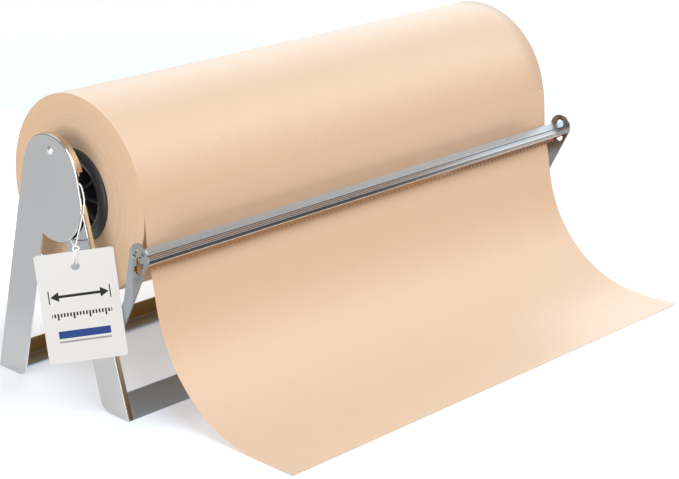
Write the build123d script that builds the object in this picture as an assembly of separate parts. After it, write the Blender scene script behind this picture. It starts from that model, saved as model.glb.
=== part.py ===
"""Counter-top paper roll dispenser with a swinging saw-toothed cutter, in millimetres.

X runs along the roll, -Y is the front, Z is up from the counter. Every piece is drawn about the roll axis
at Y zero and moved once, at export, so that the plan of the whole is centred on the origin.
"""

import os
from math import acos, asin, atan2, cos, degrees, hypot, radians, sin, sqrt, tan

from build123d import *

# Roll and paper
paper_width = 609.6
roll_radius = 102.5
core_radius = 38.1
core_wall = 4.0
web_thickness = 0.4
web_clearance = 0.3
web_lean_degrees = 8.0
web_bend_radius = 138.4
web_front_reach = 304.0

# Axle and core plugs
axle_height = 203.2
axle_radius = 6.0
axle_end_gap = 0.35
plug_flange_radius = 48.0
plug_flange_thickness = 2.6
plug_spigot_length = 26.0
plug_spigot_clearance = 0.1
plug_wall = 3.2
plug_crown_height = 1.8
plug_boss_radius = 14.0
plug_boss_length = 9.0
plug_floor_thickness = 4.0
plug_rib_thickness = 2.6
plug_rib_count = 10
screw_radius = 2.5
screw_length = 6.5
screw_socket_radius = 1.3
screw_socket_depth = 2.5

# End frames
sheet = 1.5
layer_gap = 2.4
end_room = 33.9
foot_span = 104.0
rear_leg_width = 43.0
front_leg_width = 38.0
front_leg_lean_share = 0.287
foot_corner_radius = 14.0
head_radius = 43.5
head_rise = 26.1
head_offset = 2.0
lobe_radius = 46.0
lobe_rise = 6.8
lobe_offset = 3.0
head_flange_depth = 8.2
front_flange_depth = 6.0
head_flange_end_degrees = 163.0
bend_radius = 1.2
inner_head_clearance = 0.6
mouth_reach = 56.0
mouth_bottom_rise = 7.3
mouth_top_rise = 43.8
front_flange_rise = 5.3
seat_clearance = 0.06

# Apex rivets
rivet_rise = 53.5
rivet_offset = 4.0
rivet_radius = 2.6
rivet_head_radius = 4.4
rivet_head_height = 1.9
spacer_radius = 7.0

# Crossbars
front_bar_height = 28.0
front_bar_flange = 22.0
rear_bar_height = 22.5
rear_bar_flange = 27.0
ear_height = 24.0
ear_setback = 3.0

# Cutter bar and blade, placed from the face of the web
bar_sheet = 1.2
bar_drop = 48.6
bar_standoff = 10.6
bar_edge_radius = 0.5
upper_leaf_width = 10.8
upper_leaf_degrees = 33.0
groove_side_width = 3.9
groove_side_degrees = 30.0
groove_floor_width = 2.2
lip_width = 4.4
lip_degrees = 12.0
blade_sheet = 0.8
blade_lean_degrees = 22.0
blade_width = 14.8
blade_top_margin = 0.4
tooth_count = 96
tooth_depth = 2.8
blade_corner = 9.0
tab_width = 5.6
tab_reach = 5.5
lower_tab_drop = 7.5

# Cutter arms
arm_sheet = 1.6
arm_flange_gap = 5.2
arm_width = 12.5
arm_head_radius = 13.8
arm_head_back = 4.3
arm_end_radius = 9.0
arm_kink_share = 0.52
upper_lobe_radius = 4.8
upper_lobe_rise = 1.5
lower_lobe_radius = 5.2
lower_lobe_drop = 2.4
lobe_waist = 5.0

# Arm pivots and stops
pivot_height = 66.5
pivot_radius = 4.0
pivot_clearance = 0.05
pivot_head_radius = 6.5
pivot_head_height = 2.0
sleeve_radius = 5.4
sleeve_end_gap = 0.4
clip_radius = 7.0
clip_thickness = 1.0
clip_gap = 0.35
clip_groove_depth = 0.7
clip_mouth = 5.0
pivot_stub = 1.4
stop_radius = 3.0
stop_gap = 0.3
stop_distance = 20.0
stop_overlap = 1.0

# Arm springs
spring_wire = 1.3
spring_radius = 7.4
spring_turns = 4
spring_pitch = 1.75
spring_fixed_leg = 22.0
spring_arm_leg = 30.0
spring_hook = 4.0
spring_bend_radius = 2.2
spring_gap = 0.15

# Hang tag and its string
tag_width = 76.0
tag_height = 112.5
tag_card = 0.6
tag_corner_radius = 3.0
tag_hole_radius = 4.2
tag_hole_drop = 15.0
tag_x = -361.3
tag_y = -72.2
tag_z = 120.3
tag_turn_degrees = 52.0
tag_tilt_degrees = 5.2
string_diameter = 1.6
string_gap = 0.2
knot_radius = 2.3

overrun = 40.0

# Heights of the head's features, which follow the axle
head_height = axle_height + head_rise
lobe_height = axle_height + lobe_rise
mouth_bottom = axle_height + mouth_bottom_rise
mouth_top = axle_height + mouth_top_rise
front_flange_top = axle_height + front_flange_rise
rivet_height = axle_height + rivet_rise

# Layers of the end frame, as distances from the middle of the roll
paper_half = paper_width / 2
rear_outer = paper_half + end_room
rear_inner = rear_outer - sheet
front_outer = rear_inner - layer_gap
front_inner = front_outer - sheet
front_flange_edge = front_outer - front_flange_depth
head_flange_edge = rear_outer - head_flange_depth
arm_outer = front_flange_edge - arm_flange_gap
arm_inner = arm_outer - arm_sheet


def add(a, b, scale=1.0):
    """Return point a moved by scale times vector b, in (Y, Z)."""
    return (a[0] + scale * b[0], a[1] + scale * b[1])


def heading(angle_degrees):
    """Return the unit vector at an angle from +Y towards +Z."""
    return (cos(radians(angle_degrees)), sin(radians(angle_degrees)))


def side_plane(x):
    """Return the plane at X whose own axes are Y and Z."""
    return Plane(origin=(x, 0, 0), x_dir=(0, 1, 0), z_dir=(1, 0, 0))


def slab(face, outer, inner):
    """Extrude a face drawn in (Y, Z) on the left side, between two distances from the middle."""
    return extrude(side_plane(-outer) * face, amount=outer - inner)


def disc(radius, y, z):
    """Return a round face in (Y, Z)."""
    return Pos(y, z) * Circle(radius)


def rod(radius, y, z, outer, inner):
    """Return a left-side cylinder along X between two distances from the middle."""
    return slab(disc(radius, y, z), outer, inner)


def area(*points):
    """Return the polygon through points in (Y, Z)."""
    return make_face(Polyline(*points, close=True))


def right_of(piece):
    """Return the right-hand twin of a left-hand piece."""
    return mirror(piece, about=Plane.YZ)


def both(piece):
    """Return a left-hand piece and its right-hand twin as one group of solids."""
    return Compound(children=[*Part([piece]).solids(), *Part([right_of(piece)]).solids()])


# Rear legs: an oval head on a straight leg, with one flange round the rear and the top
head_y = -head_offset
lobe_y = -lobe_offset


def oval_face(upper_radius, lower_radius):
    """Return the egg-shaped face of a head, drawn round two circles in (Y, Z)."""
    upper = disc(upper_radius, head_y, head_height)
    lower = disc(lower_radius, lobe_y, lobe_height)
    return make_hull([*upper.edges(), *lower.edges()])


oval = oval_face(head_radius, lobe_radius)
head_distance = hypot(foot_span - head_y, head_height)
rear_angle = degrees(atan2(head_height, head_y - foot_span) - asin(head_radius / head_distance))
rear_along = heading(rear_angle)
rear_across = heading(rear_angle + 90)
rear_length = sqrt(head_distance**2 - head_radius**2)
rear_foot = (foot_span, 0)
rear_top = add(rear_foot, rear_along, rear_length)
rear_run = rear_leg_width / sin(radians(rear_angle))
rear_strip = area(
    rear_foot,
    rear_top,
    add(rear_top, rear_across, rear_leg_width),
    (foot_span - rear_run, 0),
)
rear_corner = rear_strip.vertices().sort_by_distance((foot_span - rear_run, 0))[0]
rear_face = fillet(rear_corner, foot_corner_radius) + oval
rear_plate = slab(rear_face, rear_outer, rear_inner)

head_ring = disc(head_radius, head_y, head_height) - disc(head_radius - sheet, head_y, head_height)
head_centre = (head_y, head_height)
head_sweep_degrees = head_flange_end_degrees - (rear_angle - 90)
fan_shares = (0, 1 / 3, 2 / 3, 1)
fan_angles = [rear_angle - 90 + head_sweep_degrees * share for share in fan_shares]
head_fan = area(head_centre, *[add(head_centre, heading(angle), 2 * head_radius) for angle in fan_angles])
rear_sheet_run = sheet / sin(radians(rear_angle))
rear_band = area(
    rear_foot,
    rear_top,
    add(rear_top, rear_across, sheet),
    (foot_span - rear_sheet_run, 0),
)
rear_flange = slab((head_ring & head_fan) + rear_band, rear_outer, head_flange_edge)
rear_leg = rear_plate + rear_flange

# Front legs: one layer in, with the slot that the axle drops into and a flange on the front edge
front_angle = degrees(atan2(1, front_leg_lean_share))
front_along = heading(front_angle)
front_across = heading(front_angle - 90)
front_foot = (-foot_span, 0)
front_run = front_leg_width / sin(radians(front_angle))
front_strip_top = (front_foot[0] + front_leg_lean_share * front_flange_top, front_flange_top)
front_strip = area(
    front_foot,
    front_strip_top,
    add(front_strip_top, (1, 0), front_run),
    (front_foot[0] + front_run, 0),
)
front_corner = front_strip.vertices().sort_by_distance((front_foot[0] + front_run, 0))[0]
inner_oval = oval_face(
    head_radius - sheet - inner_head_clearance,
    lobe_radius - sheet - inner_head_clearance,
)
seat_radius = axle_radius + seat_clearance
mouth_edge = Edge.make_line((-mouth_reach, mouth_bottom), (-mouth_reach, mouth_top))
mouth = make_hull([*disc(seat_radius, 0, axle_height).edges(), mouth_edge])
pivot_y = front_foot[0] + front_leg_lean_share * pivot_height + front_run / 2
pivot = (pivot_y, pivot_height)
front_face = fillet(front_corner, foot_corner_radius) + inner_oval - mouth - disc(pivot_radius, *pivot)
rivet_y = -rivet_offset
front_face = front_face - disc(rivet_radius, rivet_y, rivet_height)
front_band = area(
    front_foot,
    front_strip_top,
    add(front_strip_top, (1, 0), sheet / sin(radians(front_angle))),
    (front_foot[0] + sheet / sin(radians(front_angle)), 0),
)
front_leg = slab(front_face, front_outer, front_inner) + slab(front_band, front_outer, front_flange_edge)
rear_leg = rear_leg - rod(rivet_radius, rivet_y, rivet_height, rear_outer + overrun, rear_inner - overrun)


def soften(leg, outer, marks):
    """Round the bend where a leg's flange meets its face, at the edges that pass the given marks."""
    on_face = leg.edges().filter_by_position(Axis.X, -outer - bend_radius / 9, -outer + bend_radius / 9)
    bends = [on_face.sort_by_distance((-outer, *mark))[0] for mark in marks]
    return fillet(bends, bend_radius)


rear_leg = soften(
    rear_leg,
    rear_outer,
    [add(rear_foot, rear_along, rear_length / 2), add(head_centre, heading(90), head_radius)],
)
front_leg = soften(front_leg, front_outer, [add(front_foot, front_along, front_flange_top / 2)])

# Apex rivets and their spacers: a shank with a dome at each end, half a section turned about its own axis
dome_radius = (rivet_head_radius**2 + rivet_head_height**2) / (2 * rivet_head_height)
dome_half = asin(rivet_head_radius / dome_radius) / 2
dome_fall = dome_radius * (1 - cos(dome_half))
dome_out = dome_radius * sin(dome_half)
outer_crown = -rear_outer - rivet_head_height
inner_crown = -front_inner + rivet_head_height
outer_rim = (-rear_outer, rivet_head_radius)
inner_rim = (-front_inner, rivet_head_radius)
rivet_edges = [
    Edge.make_three_point_arc((outer_crown, 0), (outer_crown + dome_fall, dome_out), outer_rim),
    *Polyline(outer_rim, (-rear_outer, rivet_radius), (-front_inner, rivet_radius), inner_rim).edges(),
    Edge.make_three_point_arc(inner_rim, (inner_crown - dome_fall, dome_out), (inner_crown, 0)),
    Edge.make_line((inner_crown, 0), (outer_crown, 0)),
]
rivet_plane = Plane(origin=(0, rivet_y, rivet_height), x_dir=(1, 0, 0), z_dir=(0, -1, 0))
rivet = revolve(rivet_plane * make_face(rivet_edges), Axis((0, rivet_y, rivet_height), (1, 0, 0)))
spacer_face = disc(spacer_radius, rivet_y, rivet_height) - disc(rivet_radius, rivet_y, rivet_height)
spacer = slab(spacer_face, rear_inner, front_outer)

# Crossbars: angles that stand on the counter, welded by ears to the insides of the legs
front_bar_top = add(front_foot, front_along, front_bar_height)
front_sheet_run = sheet / sin(radians(front_angle))
front_bar_face = area(
    front_foot,
    front_bar_top,
    add(front_bar_top, (1, 0), front_sheet_run),
    (front_foot[0] + front_sheet_run + front_leg_lean_share * sheet, sheet),
    (front_foot[0] + front_bar_flange, sheet),
    (front_foot[0] + front_bar_flange, 0),
)
front_ear_near = front_foot[0] + front_sheet_run + ear_setback
front_ear_far = front_foot[0] + front_bar_flange
front_ear = area(
    (front_ear_near, 0),
    (front_ear_near + front_leg_lean_share * ear_height, ear_height),
    (front_ear_far + front_leg_lean_share * ear_height, ear_height),
    (front_ear_far, 0),
)
front_tongue = area(
    (front_ear_near, 0),
    (front_ear_near, sheet),
    (front_ear_far, sheet),
    (front_ear_far, 0),
)
front_bar_end = slab(front_ear, front_inner, front_inner - sheet)
front_bar_end = front_bar_end + slab(front_tongue, front_inner, front_flange_edge)
front_bar = slab(front_bar_face, front_flange_edge, -front_flange_edge)
front_bar = front_bar + front_bar_end + right_of(front_bar_end)

rear_lean = -rear_along[0] / rear_along[1]
rear_bar_top = add(rear_foot, rear_along, rear_bar_height)
rear_bar_face = area(
    rear_foot,
    rear_bar_top,
    add(rear_bar_top, (-1, 0), rear_sheet_run),
    (foot_span - rear_sheet_run - rear_lean * sheet, sheet),
    (foot_span - rear_bar_flange, sheet),
    (foot_span - rear_bar_flange, 0),
)
rear_ear_near = foot_span - rear_sheet_run - ear_setback
rear_ear_far = foot_span - rear_bar_flange
rear_ear = area(
    (rear_ear_near, 0),
    (rear_ear_near - rear_lean * ear_height, ear_height),
    (rear_ear_far - rear_lean * ear_height, ear_height),
    (rear_ear_far, 0),
)
rear_tongue = area(
    (rear_ear_near, 0),
    (rear_ear_near, sheet),
    (rear_ear_far, sheet),
    (rear_ear_far, 0),
)
rear_bar_end = slab(rear_ear, rear_inner, rear_inner - sheet)
rear_bar_end = rear_bar_end + slab(rear_tongue, rear_inner, head_flange_edge)
rear_bar = slab(rear_bar_face, head_flange_edge, -head_flange_edge)
rear_bar = rear_bar + rear_bar_end + right_of(rear_bar_end)

# Roll, core, plugs and axle
core_outer = core_radius + core_wall
roll_face = disc(roll_radius, 0, axle_height) - disc(core_outer, 0, axle_height)
paper_roll = slab(roll_face, paper_half, -paper_half)
core_face = disc(core_outer, 0, axle_height) - disc(core_radius, 0, axle_height)
paper_core = slab(core_face, paper_half, -paper_half)
axle_half = rear_inner - axle_end_gap
axle = slab(disc(axle_radius, 0, axle_height), axle_half, -axle_half)

spigot_radius = core_radius - plug_spigot_clearance
plug_face = paper_half + plug_flange_thickness
plug_root = paper_half - plug_spigot_length
plug = rod(plug_flange_radius, 0, axle_height, plug_face, paper_half)
plug = plug + rod(spigot_radius, 0, axle_height, paper_half, plug_root)
pocket_radius = spigot_radius - plug_wall
rim_inner = (-plug_face, pocket_radius)
rim_outer = (-plug_face, plug_flange_radius)
rim_crown = (-plug_face - plug_crown_height, (pocket_radius + plug_flange_radius) / 2)
rim_edges = [
    Edge.make_three_point_arc(rim_inner, rim_crown, rim_outer),
    Edge.make_line(rim_outer, rim_inner),
]
rim_plane = Plane(origin=(0, 0, axle_height), x_dir=(1, 0, 0), z_dir=(0, -1, 0))
plug = plug + revolve(rim_plane * make_face(rim_edges), Axis((0, 0, axle_height), (1, 0, 0)))
pocket = disc(pocket_radius, 0, axle_height) - disc(plug_boss_radius, 0, axle_height)
for index in range(plug_rib_count):
    rib = Pos(plug_flange_radius / 2, 0) * Rectangle(plug_flange_radius, plug_rib_thickness)
    pocket = pocket - Pos(0, axle_height) * Rot(0, 0, 360 * index / plug_rib_count) * rib
plug = plug - slab(pocket, plug_face + overrun, plug_root + plug_floor_thickness)
plug = plug + rod(plug_boss_radius, 0, axle_height, plug_face + plug_boss_length, plug_root)
plug = plug - rod(axle_radius, 0, axle_height, plug_face + overrun, plug_root - overrun)
screw_x = -plug_face - plug_boss_length / 2
screw_base = Plane(origin=(screw_x, 0, axle_height + axle_radius), x_dir=(1, 0, 0), z_dir=(0, 0, 1))
plug = plug - extrude(screw_base * Circle(screw_radius), amount=overrun)
screw = extrude(screw_base * Circle(screw_radius), amount=screw_length)
socket_base = screw_base.offset(screw_length - screw_socket_depth)
screw = screw - extrude(socket_base * RegularPolygon(screw_socket_radius, 6), amount=overrun)

# Web: straight off the roll, one bend, then out along the counter
web_normal = heading(180 - web_lean_degrees)
web_down = heading(270 - web_lean_degrees)
axis_point = (0, axle_height)
web_back = roll_radius + web_clearance
web_front = web_back + web_thickness
web_middle = web_back + web_thickness / 2
bend_y_reach = web_bend_radius * cos(radians(web_lean_degrees))
bend_z = web_thickness / 2 + web_bend_radius
bend_start_z = bend_z - web_bend_radius * sin(radians(web_lean_degrees))
leave_z = axle_height + web_middle * web_normal[1]
straight = (leave_z - bend_start_z) / -web_down[1]
bend_start = add(add(axis_point, web_normal, web_middle), web_down, straight)
bend_centre = add(bend_start, web_normal, web_bend_radius)


def web_side(offset):
    """Return the three edges of the web's face at an offset towards its front."""
    leave = add(axis_point, web_normal, web_middle + offset)
    start = add(bend_start, web_normal, offset)
    radius = web_bend_radius - offset
    middle = add(bend_centre, heading((360 - web_lean_degrees + 270) / 2), radius)
    end = (bend_centre[0], bend_centre[1] - radius)
    tip = (-web_front_reach, end[1])
    bend = Edge.make_three_point_arc(start, middle, end)
    return [Edge.make_line(leave, start), bend, Edge.make_line(end, tip)]


front_side = web_side(web_thickness / 2)
back_side = web_side(-web_thickness / 2)
web_ends = [
    Edge.make_line(front_side[0] @ 0, back_side[0] @ 0),
    Edge.make_line(front_side[2] @ 1, back_side[2] @ 1),
]
paper_web = slab(make_face(front_side + back_side + web_ends), paper_half, -paper_half)

# Cutter bar and blade, in the frame of the web: standoff from its face, drop along it. The bar is one bent
# sheet: an upper leaf that leans back to the roll, a groove with the blade welded behind it, and a lower lip


def on_web(standoff, drop):
    """Return the (Y, Z) point at a standoff from the web's face and a drop down it."""
    return add(add(axis_point, web_normal, web_front + standoff), web_down, drop)


def bent_sheet(front, thickness):
    """Return the face of a bent sheet from the corners of its front, with the back mitred behind them."""
    runs = [add(b, a, -1) for a, b in zip(front, front[1:])]
    backs = [(-run[1] / hypot(*run), run[0] / hypot(*run)) for run in runs]
    rear = []
    for corner, near, far in zip(front, [backs[0], *backs], [*backs, backs[-1]]):
        reach = thickness / (1 + near[0] * far[0] + near[1] * far[1])
        rear.append(add(add(corner, near, reach), far, reach))
    return area(*front, *reversed(rear))


web_angle = 270 - web_lean_degrees
bar_bend = on_web(bar_standoff, bar_drop)
upper_along = heading(upper_leaf_degrees - web_lean_degrees)
upper_in = heading(upper_leaf_degrees - web_lean_degrees - 90)
lower_along = heading(web_angle + blade_lean_degrees)
lower_in = (-lower_along[1], lower_along[0])
groove_top = add(bar_bend, heading(web_angle + groove_side_degrees), groove_side_width)
groove_foot = add(groove_top, lower_along, groove_floor_width)
lip_edge = add(groove_foot, heading(web_angle - lip_degrees), lip_width)
upper_edge = add(bar_bend, upper_along, upper_leaf_width)
bar_face = bent_sheet([upper_edge, bar_bend, groove_top, groove_foot, lip_edge], bar_sheet)
bar_face = fillet(bar_face.vertices(), bar_edge_radius)
upper_tab_centre = add(add(bar_bend, upper_along, upper_leaf_width / 2), upper_in, bar_sheet / 2)


def strip(centre, along, across, length, thickness):
    """Return a rectangle in (Y, Z) about a centre."""
    tips = [(-length / 2, -thickness / 2), (length / 2, -thickness / 2), (length / 2, thickness / 2)]
    tips.append((-length / 2, thickness / 2))
    return area(*[add(add(centre, along, a), across, b) for a, b in tips])


upper_tab = slab(
    strip(upper_tab_centre, upper_along, upper_in, tab_width, bar_sheet), arm_outer + tab_reach, arm_inner
)
cutter_bar = slab(bar_face, arm_inner, -arm_inner) + upper_tab + right_of(upper_tab)

# The blade is drawn flat, X along the bar and Y down the groove, then laid on the back of the groove's floor
root = blade_width - tooth_depth
toothed_half = arm_inner - blade_corner
pitch = 2 * toothed_half / tooth_count
outline = [(-arm_inner, blade_top_margin)]
outline += [(-arm_inner, lower_tab_drop + tab_width / 2)]
for tooth in range(tooth_count):
    outline.append((-toothed_half + tooth * pitch, root))
    outline.append((-toothed_half + (tooth + 1 / 2) * pitch, blade_width))
outline.append((toothed_half, root))
outline += [(arm_inner, lower_tab_drop + tab_width / 2), (arm_inner, blade_top_margin)]
tab_half = arm_outer + tab_reach
tabs = Pos(0, lower_tab_drop) * Rectangle(2 * tab_half, tab_width)
blade_origin = add(groove_top, lower_in, bar_sheet)
blade_plane = Plane(
    origin=(0, *blade_origin), x_dir=(1, 0, 0), z_dir=(0, lower_in[0], lower_in[1])
)
blade_sign = 1 if blade_plane.y_dir.Z < 0 else -1
blade_face = make_face(Polyline(*[(x, blade_sign * y) for x, y in outline], close=True))
blade_face = blade_face + Pos(0, (blade_sign - 1) * lower_tab_drop) * tabs
cutter_blade = extrude(blade_plane * blade_face, amount=blade_sheet)
lower_tab_centre = add(add(blade_origin, lower_along, lower_tab_drop), lower_in, blade_sheet / 2)

# Cutter arms: a head with a figure-of-eight slot on a strip that runs down to the pivot
arm_head = add(bar_bend, (1, 0), arm_head_back)
arm_span = hypot(arm_head[0] - pivot[0], arm_head[1] - pivot[1])
arm_angle = degrees(atan2(arm_head[1] - pivot[1], arm_head[0] - pivot[0]))
front_normal_angle = arm_angle + degrees(acos((arm_end_radius - arm_head_radius) / arm_span))
arm_front = heading(front_normal_angle)
arm_up = heading(front_normal_angle - 90)
arm_length = sqrt(arm_span**2 - (arm_head_radius - arm_end_radius) ** 2)
arm_root = add(pivot, arm_front, arm_end_radius)
arm_tip = add(arm_head, arm_front, arm_head_radius)
arm_rear_root = add(arm_root, arm_front, -arm_width)
arm_rear_tip = add(arm_tip, arm_front, -arm_width)
arm_strip = area(arm_root, arm_tip, arm_rear_tip, arm_rear_root)
arm_kink = add(arm_rear_root, arm_up, arm_length * arm_kink_share)
arm_shoulder = add(arm_head, heading(0), arm_head_radius)
arm_gusset = area(arm_head, arm_shoulder, arm_kink, add(arm_kink, arm_front, arm_width / 2))
arm_face = arm_strip + disc(arm_end_radius, *pivot) + disc(arm_head_radius, *arm_head) + arm_gusset
upper_lobe = add(upper_tab_centre, upper_in, -upper_lobe_rise)
lower_lobe = add(lower_tab_centre, lower_along, lower_lobe_drop)
lobe_vector = (upper_lobe[0] - lower_lobe[0], upper_lobe[1] - lower_lobe[1])
lobe_span = hypot(*lobe_vector)
lobe_along = (lobe_vector[0] / lobe_span, lobe_vector[1] / lobe_span)
lobe_middle = add(lower_lobe, lobe_vector, 1 / 2)
arm_face = arm_face - disc(upper_lobe_radius, *upper_lobe) - disc(lower_lobe_radius, *lower_lobe)
lobe_across = (-lobe_along[1], lobe_along[0])
arm_face = arm_face - strip(lobe_middle, lobe_along, lobe_across, lobe_span, lobe_waist)
arm_face = arm_face - disc(pivot_radius + pivot_clearance, *pivot)
cutter_arm = slab(arm_face, arm_outer, arm_inner)

# Pivot studs, sleeves, clips and stop pins
clip_outer = arm_inner - clip_gap
clip_inner = clip_outer - clip_thickness
stud = rod(pivot_head_radius, *pivot, front_outer + pivot_head_height, front_outer)
stud = stud + rod(pivot_radius, *pivot, front_outer, clip_inner - pivot_stub)
groove_radius = pivot_radius - clip_groove_depth
groove_face = disc(pivot_radius + overrun, *pivot) - disc(groove_radius, *pivot)
stud = stud - slab(groove_face, clip_outer, clip_inner)
sleeve_face = disc(sleeve_radius, *pivot) - disc(pivot_radius, *pivot)
sleeve = slab(sleeve_face, front_inner, arm_outer + sleeve_end_gap)
clip_gate = strip(add(pivot, (0, -1), clip_radius / 2), (0, 1), (1, 0), clip_radius, clip_mouth)
clip = slab(disc(clip_radius, *pivot) - disc(groove_radius, *pivot) - clip_gate, clip_outer, clip_inner)
stop_foot = add(arm_rear_root, arm_up, stop_distance)
stop_centre = add(stop_foot, arm_front, -stop_radius - stop_gap)
stop_pin = rod(stop_radius, *stop_centre, front_inner, arm_inner - stop_overlap)

# Arm springs: a coil round each sleeve, one leg on the leg's flange, the other hooked on the arm


def biarc(start, start_way, end, end_way):
    """Return two tangent arcs that join two points with given unit directions."""
    span = end - start
    ways = start_way + end_way
    bend = 2 * (1 - start_way.dot(end_way))
    reach = (sqrt(span.dot(ways) ** 2 + bend * span.dot(span)) - span.dot(ways)) / bend
    near = start + start_way * reach
    far = end - end_way * reach
    middle = (near + far) * (1 / 2)
    middle_way = (far - near).normalized()
    return [
        Edge.make_tangent_arc(start, start_way, middle),
        Edge.make_tangent_arc(middle, middle_way, end),
    ]


def in_space(u, point):
    """Return the left-side point in space at a distance from the middle."""
    return Vector(-u, point[0], point[1])


coil_start = front_inner - spring_gap - spring_wire / 2
flange_reach = front_leg_width / 2 - sheet - spring_wire / 2 - spring_gap
fixed_span = hypot(spring_radius, spring_fixed_leg)
fixed_turn = asin(flange_reach / fixed_span) - atan2(spring_radius, spring_fixed_leg)
fixed_angle = front_angle + degrees(fixed_turn)
hook_reach = arm_end_radius + spring_wire / 2 + spring_gap
hook_span = hypot(spring_radius, spring_arm_leg)
hook_turn = asin(hook_reach / hook_span) + atan2(spring_radius, spring_arm_leg)
moving_angle = front_normal_angle - 90 + degrees(hook_turn)
coil_from = fixed_angle + 90
coil_turn = (moving_angle - 90 - coil_from) % 360 + 360 * (spring_turns - 1)
coil_steps = 4 * spring_turns
coil_travel = spring_pitch * coil_turn / 360
coil_points = []
coil_ways = []
for step in range(coil_steps + 1):
    angle = coil_from + coil_turn * step / coil_steps
    slope = 0 if step in (0, coil_steps) else spring_pitch / (2 * radians(180) * spring_radius)
    tangent = heading(angle + 90)
    coil_points.append(
        in_space(coil_start - coil_travel * step / coil_steps, add(pivot, heading(angle), spring_radius))
    )
    coil_ways.append(Vector(slope, *tangent).normalized())
fixed_tip = coil_points[0] - coil_ways[0] * spring_fixed_leg
spring_edges = [Edge.make_line(fixed_tip, coil_points[0])]
for step in range(coil_steps):
    spring_edges += biarc(coil_points[step], coil_ways[step], coil_points[step + 1], coil_ways[step + 1])
bend_from = coil_points[-1] + coil_ways[-1] * (spring_arm_leg - spring_bend_radius)
bend_to = bend_from + coil_ways[-1] * spring_bend_radius + Vector(spring_bend_radius, 0, 0)
spring_edges.append(Edge.make_line(coil_points[-1], bend_from))
spring_edges.append(Edge.make_tangent_arc(bend_from, coil_ways[-1], bend_to))
spring_edges.append(Edge.make_line(bend_to, bend_to + Vector(spring_hook, 0, 0)))
spring_path = Wire(spring_edges)
spring_section = Plane(origin=spring_path @ 0, z_dir=spring_path % 0) * Circle(spring_wire / 2)
arm_spring = sweep(spring_section, path=spring_path)
sample_shares = [index / 8 for index in range(8)]
samples = [edge @ share for edge in spring_edges[1:-3] for share in sample_shares]
turn_samples = len(samples) // spring_turns
gaps = [
    (samples[i] - samples[j]).length - spring_wire
    for i in range(len(samples))
    for j in range(i + turn_samples // 2, len(samples))
]
print("spring coil least gap", round(min(gaps), 3))

# Hang tag: a card turned towards the front corner, with a hole near its top edge
tag_normal = heading(180 + tag_turn_degrees)
tag_right = heading(tag_turn_degrees - 90)
tilt = radians(tag_tilt_degrees)
tag_plane = Plane(
    origin=(tag_x, tag_y, tag_z),
    x_dir=(cos(tilt) * tag_right[0], cos(tilt) * tag_right[1], sin(tilt)),
    z_dir=(tag_normal[0], tag_normal[1], 0),
)
tag_hole_y = tag_height / 2 - tag_hole_drop
tag_face = RectangleRounded(tag_width, tag_height, tag_corner_radius)
tag_face = tag_face - Pos(0, tag_hole_y) * Circle(tag_hole_radius)
hang_tag = extrude(tag_plane * tag_face, amount=tag_card)

# String: from the knot in at the mouth of the head, round the axle's end, out below and back to the knot
string_route = [
    (-363.2, -70.2, 181.0),
    (-360.6, -70.3, 189.0),
    (-355.5, -69.6, 200.5),
    (-350.5, -68.6, 212.5),
    (-346.0, -65.0, 222.0),
    (-341.0, -58.0, 229.0),
    (-336.0, -50.5, 233.0),
    (-336.0, -38.0, 234.5),
    (-336.0, -12.0, 224.0),
    (-336.0, 11.5, 206.0),
    (-336.0, -1.0, 186.5),
    (-336.0, -18.0, 176.0),
    (-336.0, -32.5, 169.5),
    (-341.5, -41.0, 168.5),
    (-352.0, -56.0, 173.5),
    (-362.4, -68.6, 180.0),
]
points = [Vector(*point) for point in string_route]
fillet_share = 0.45
radii = []
for before, here, after in zip(points, points[1:], points[2:]):
    turn = (here - before).get_angle(after - here)
    run = min((here - before).length, (after - here).length)
    radii.append(fillet_share * run / tan(radians(turn) / 2))
print("string bend radii", [round(radius, 1) for radius in radii])
print("string length", round(sum((b - a).length for a, b in zip(points, points[1:])), 1))
string_path = FilletPolyline(*points, radius=radii)
string_section = Plane(origin=string_path @ 0, z_dir=string_path % 0) * Circle(string_diameter / 2)
tag_string = sweep(string_section, path=string_path)
knot_place = tag_plane.to_local_coords(points[0])
loop_reach = tag_card / 2 + string_gap + string_diameter / 2
loop_low = Vector(0, tag_hole_y + tag_hole_radius - string_gap, tag_card / 2)
loop_high = Vector(knot_place.X, tag_height / 2 + string_gap + knot_radius, tag_card / 2)
loop_up = (loop_high - loop_low).normalized()
loop_side = Vector(0, 0, 1) * loop_reach
loop_crown = loop_up * loop_reach
loop_edges = [
    Edge.make_line(loop_low + loop_side, loop_high + loop_side),
    Edge.make_three_point_arc(loop_high + loop_side, loop_high + loop_crown, loop_high - loop_side),
    Edge.make_line(loop_high - loop_side, loop_low - loop_side),
    Edge.make_three_point_arc(loop_low - loop_side, loop_low - loop_crown, loop_low + loop_side),
]
loop_path = Wire(loop_edges)
loop_section = Plane(origin=loop_edges[0] @ 0, z_dir=loop_edges[0] % 0) * Circle(string_diameter / 2)
tag_loop = tag_plane * sweep(loop_section, path=loop_path)
knot = Pos(*points[0]) * Sphere(knot_radius)

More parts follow.
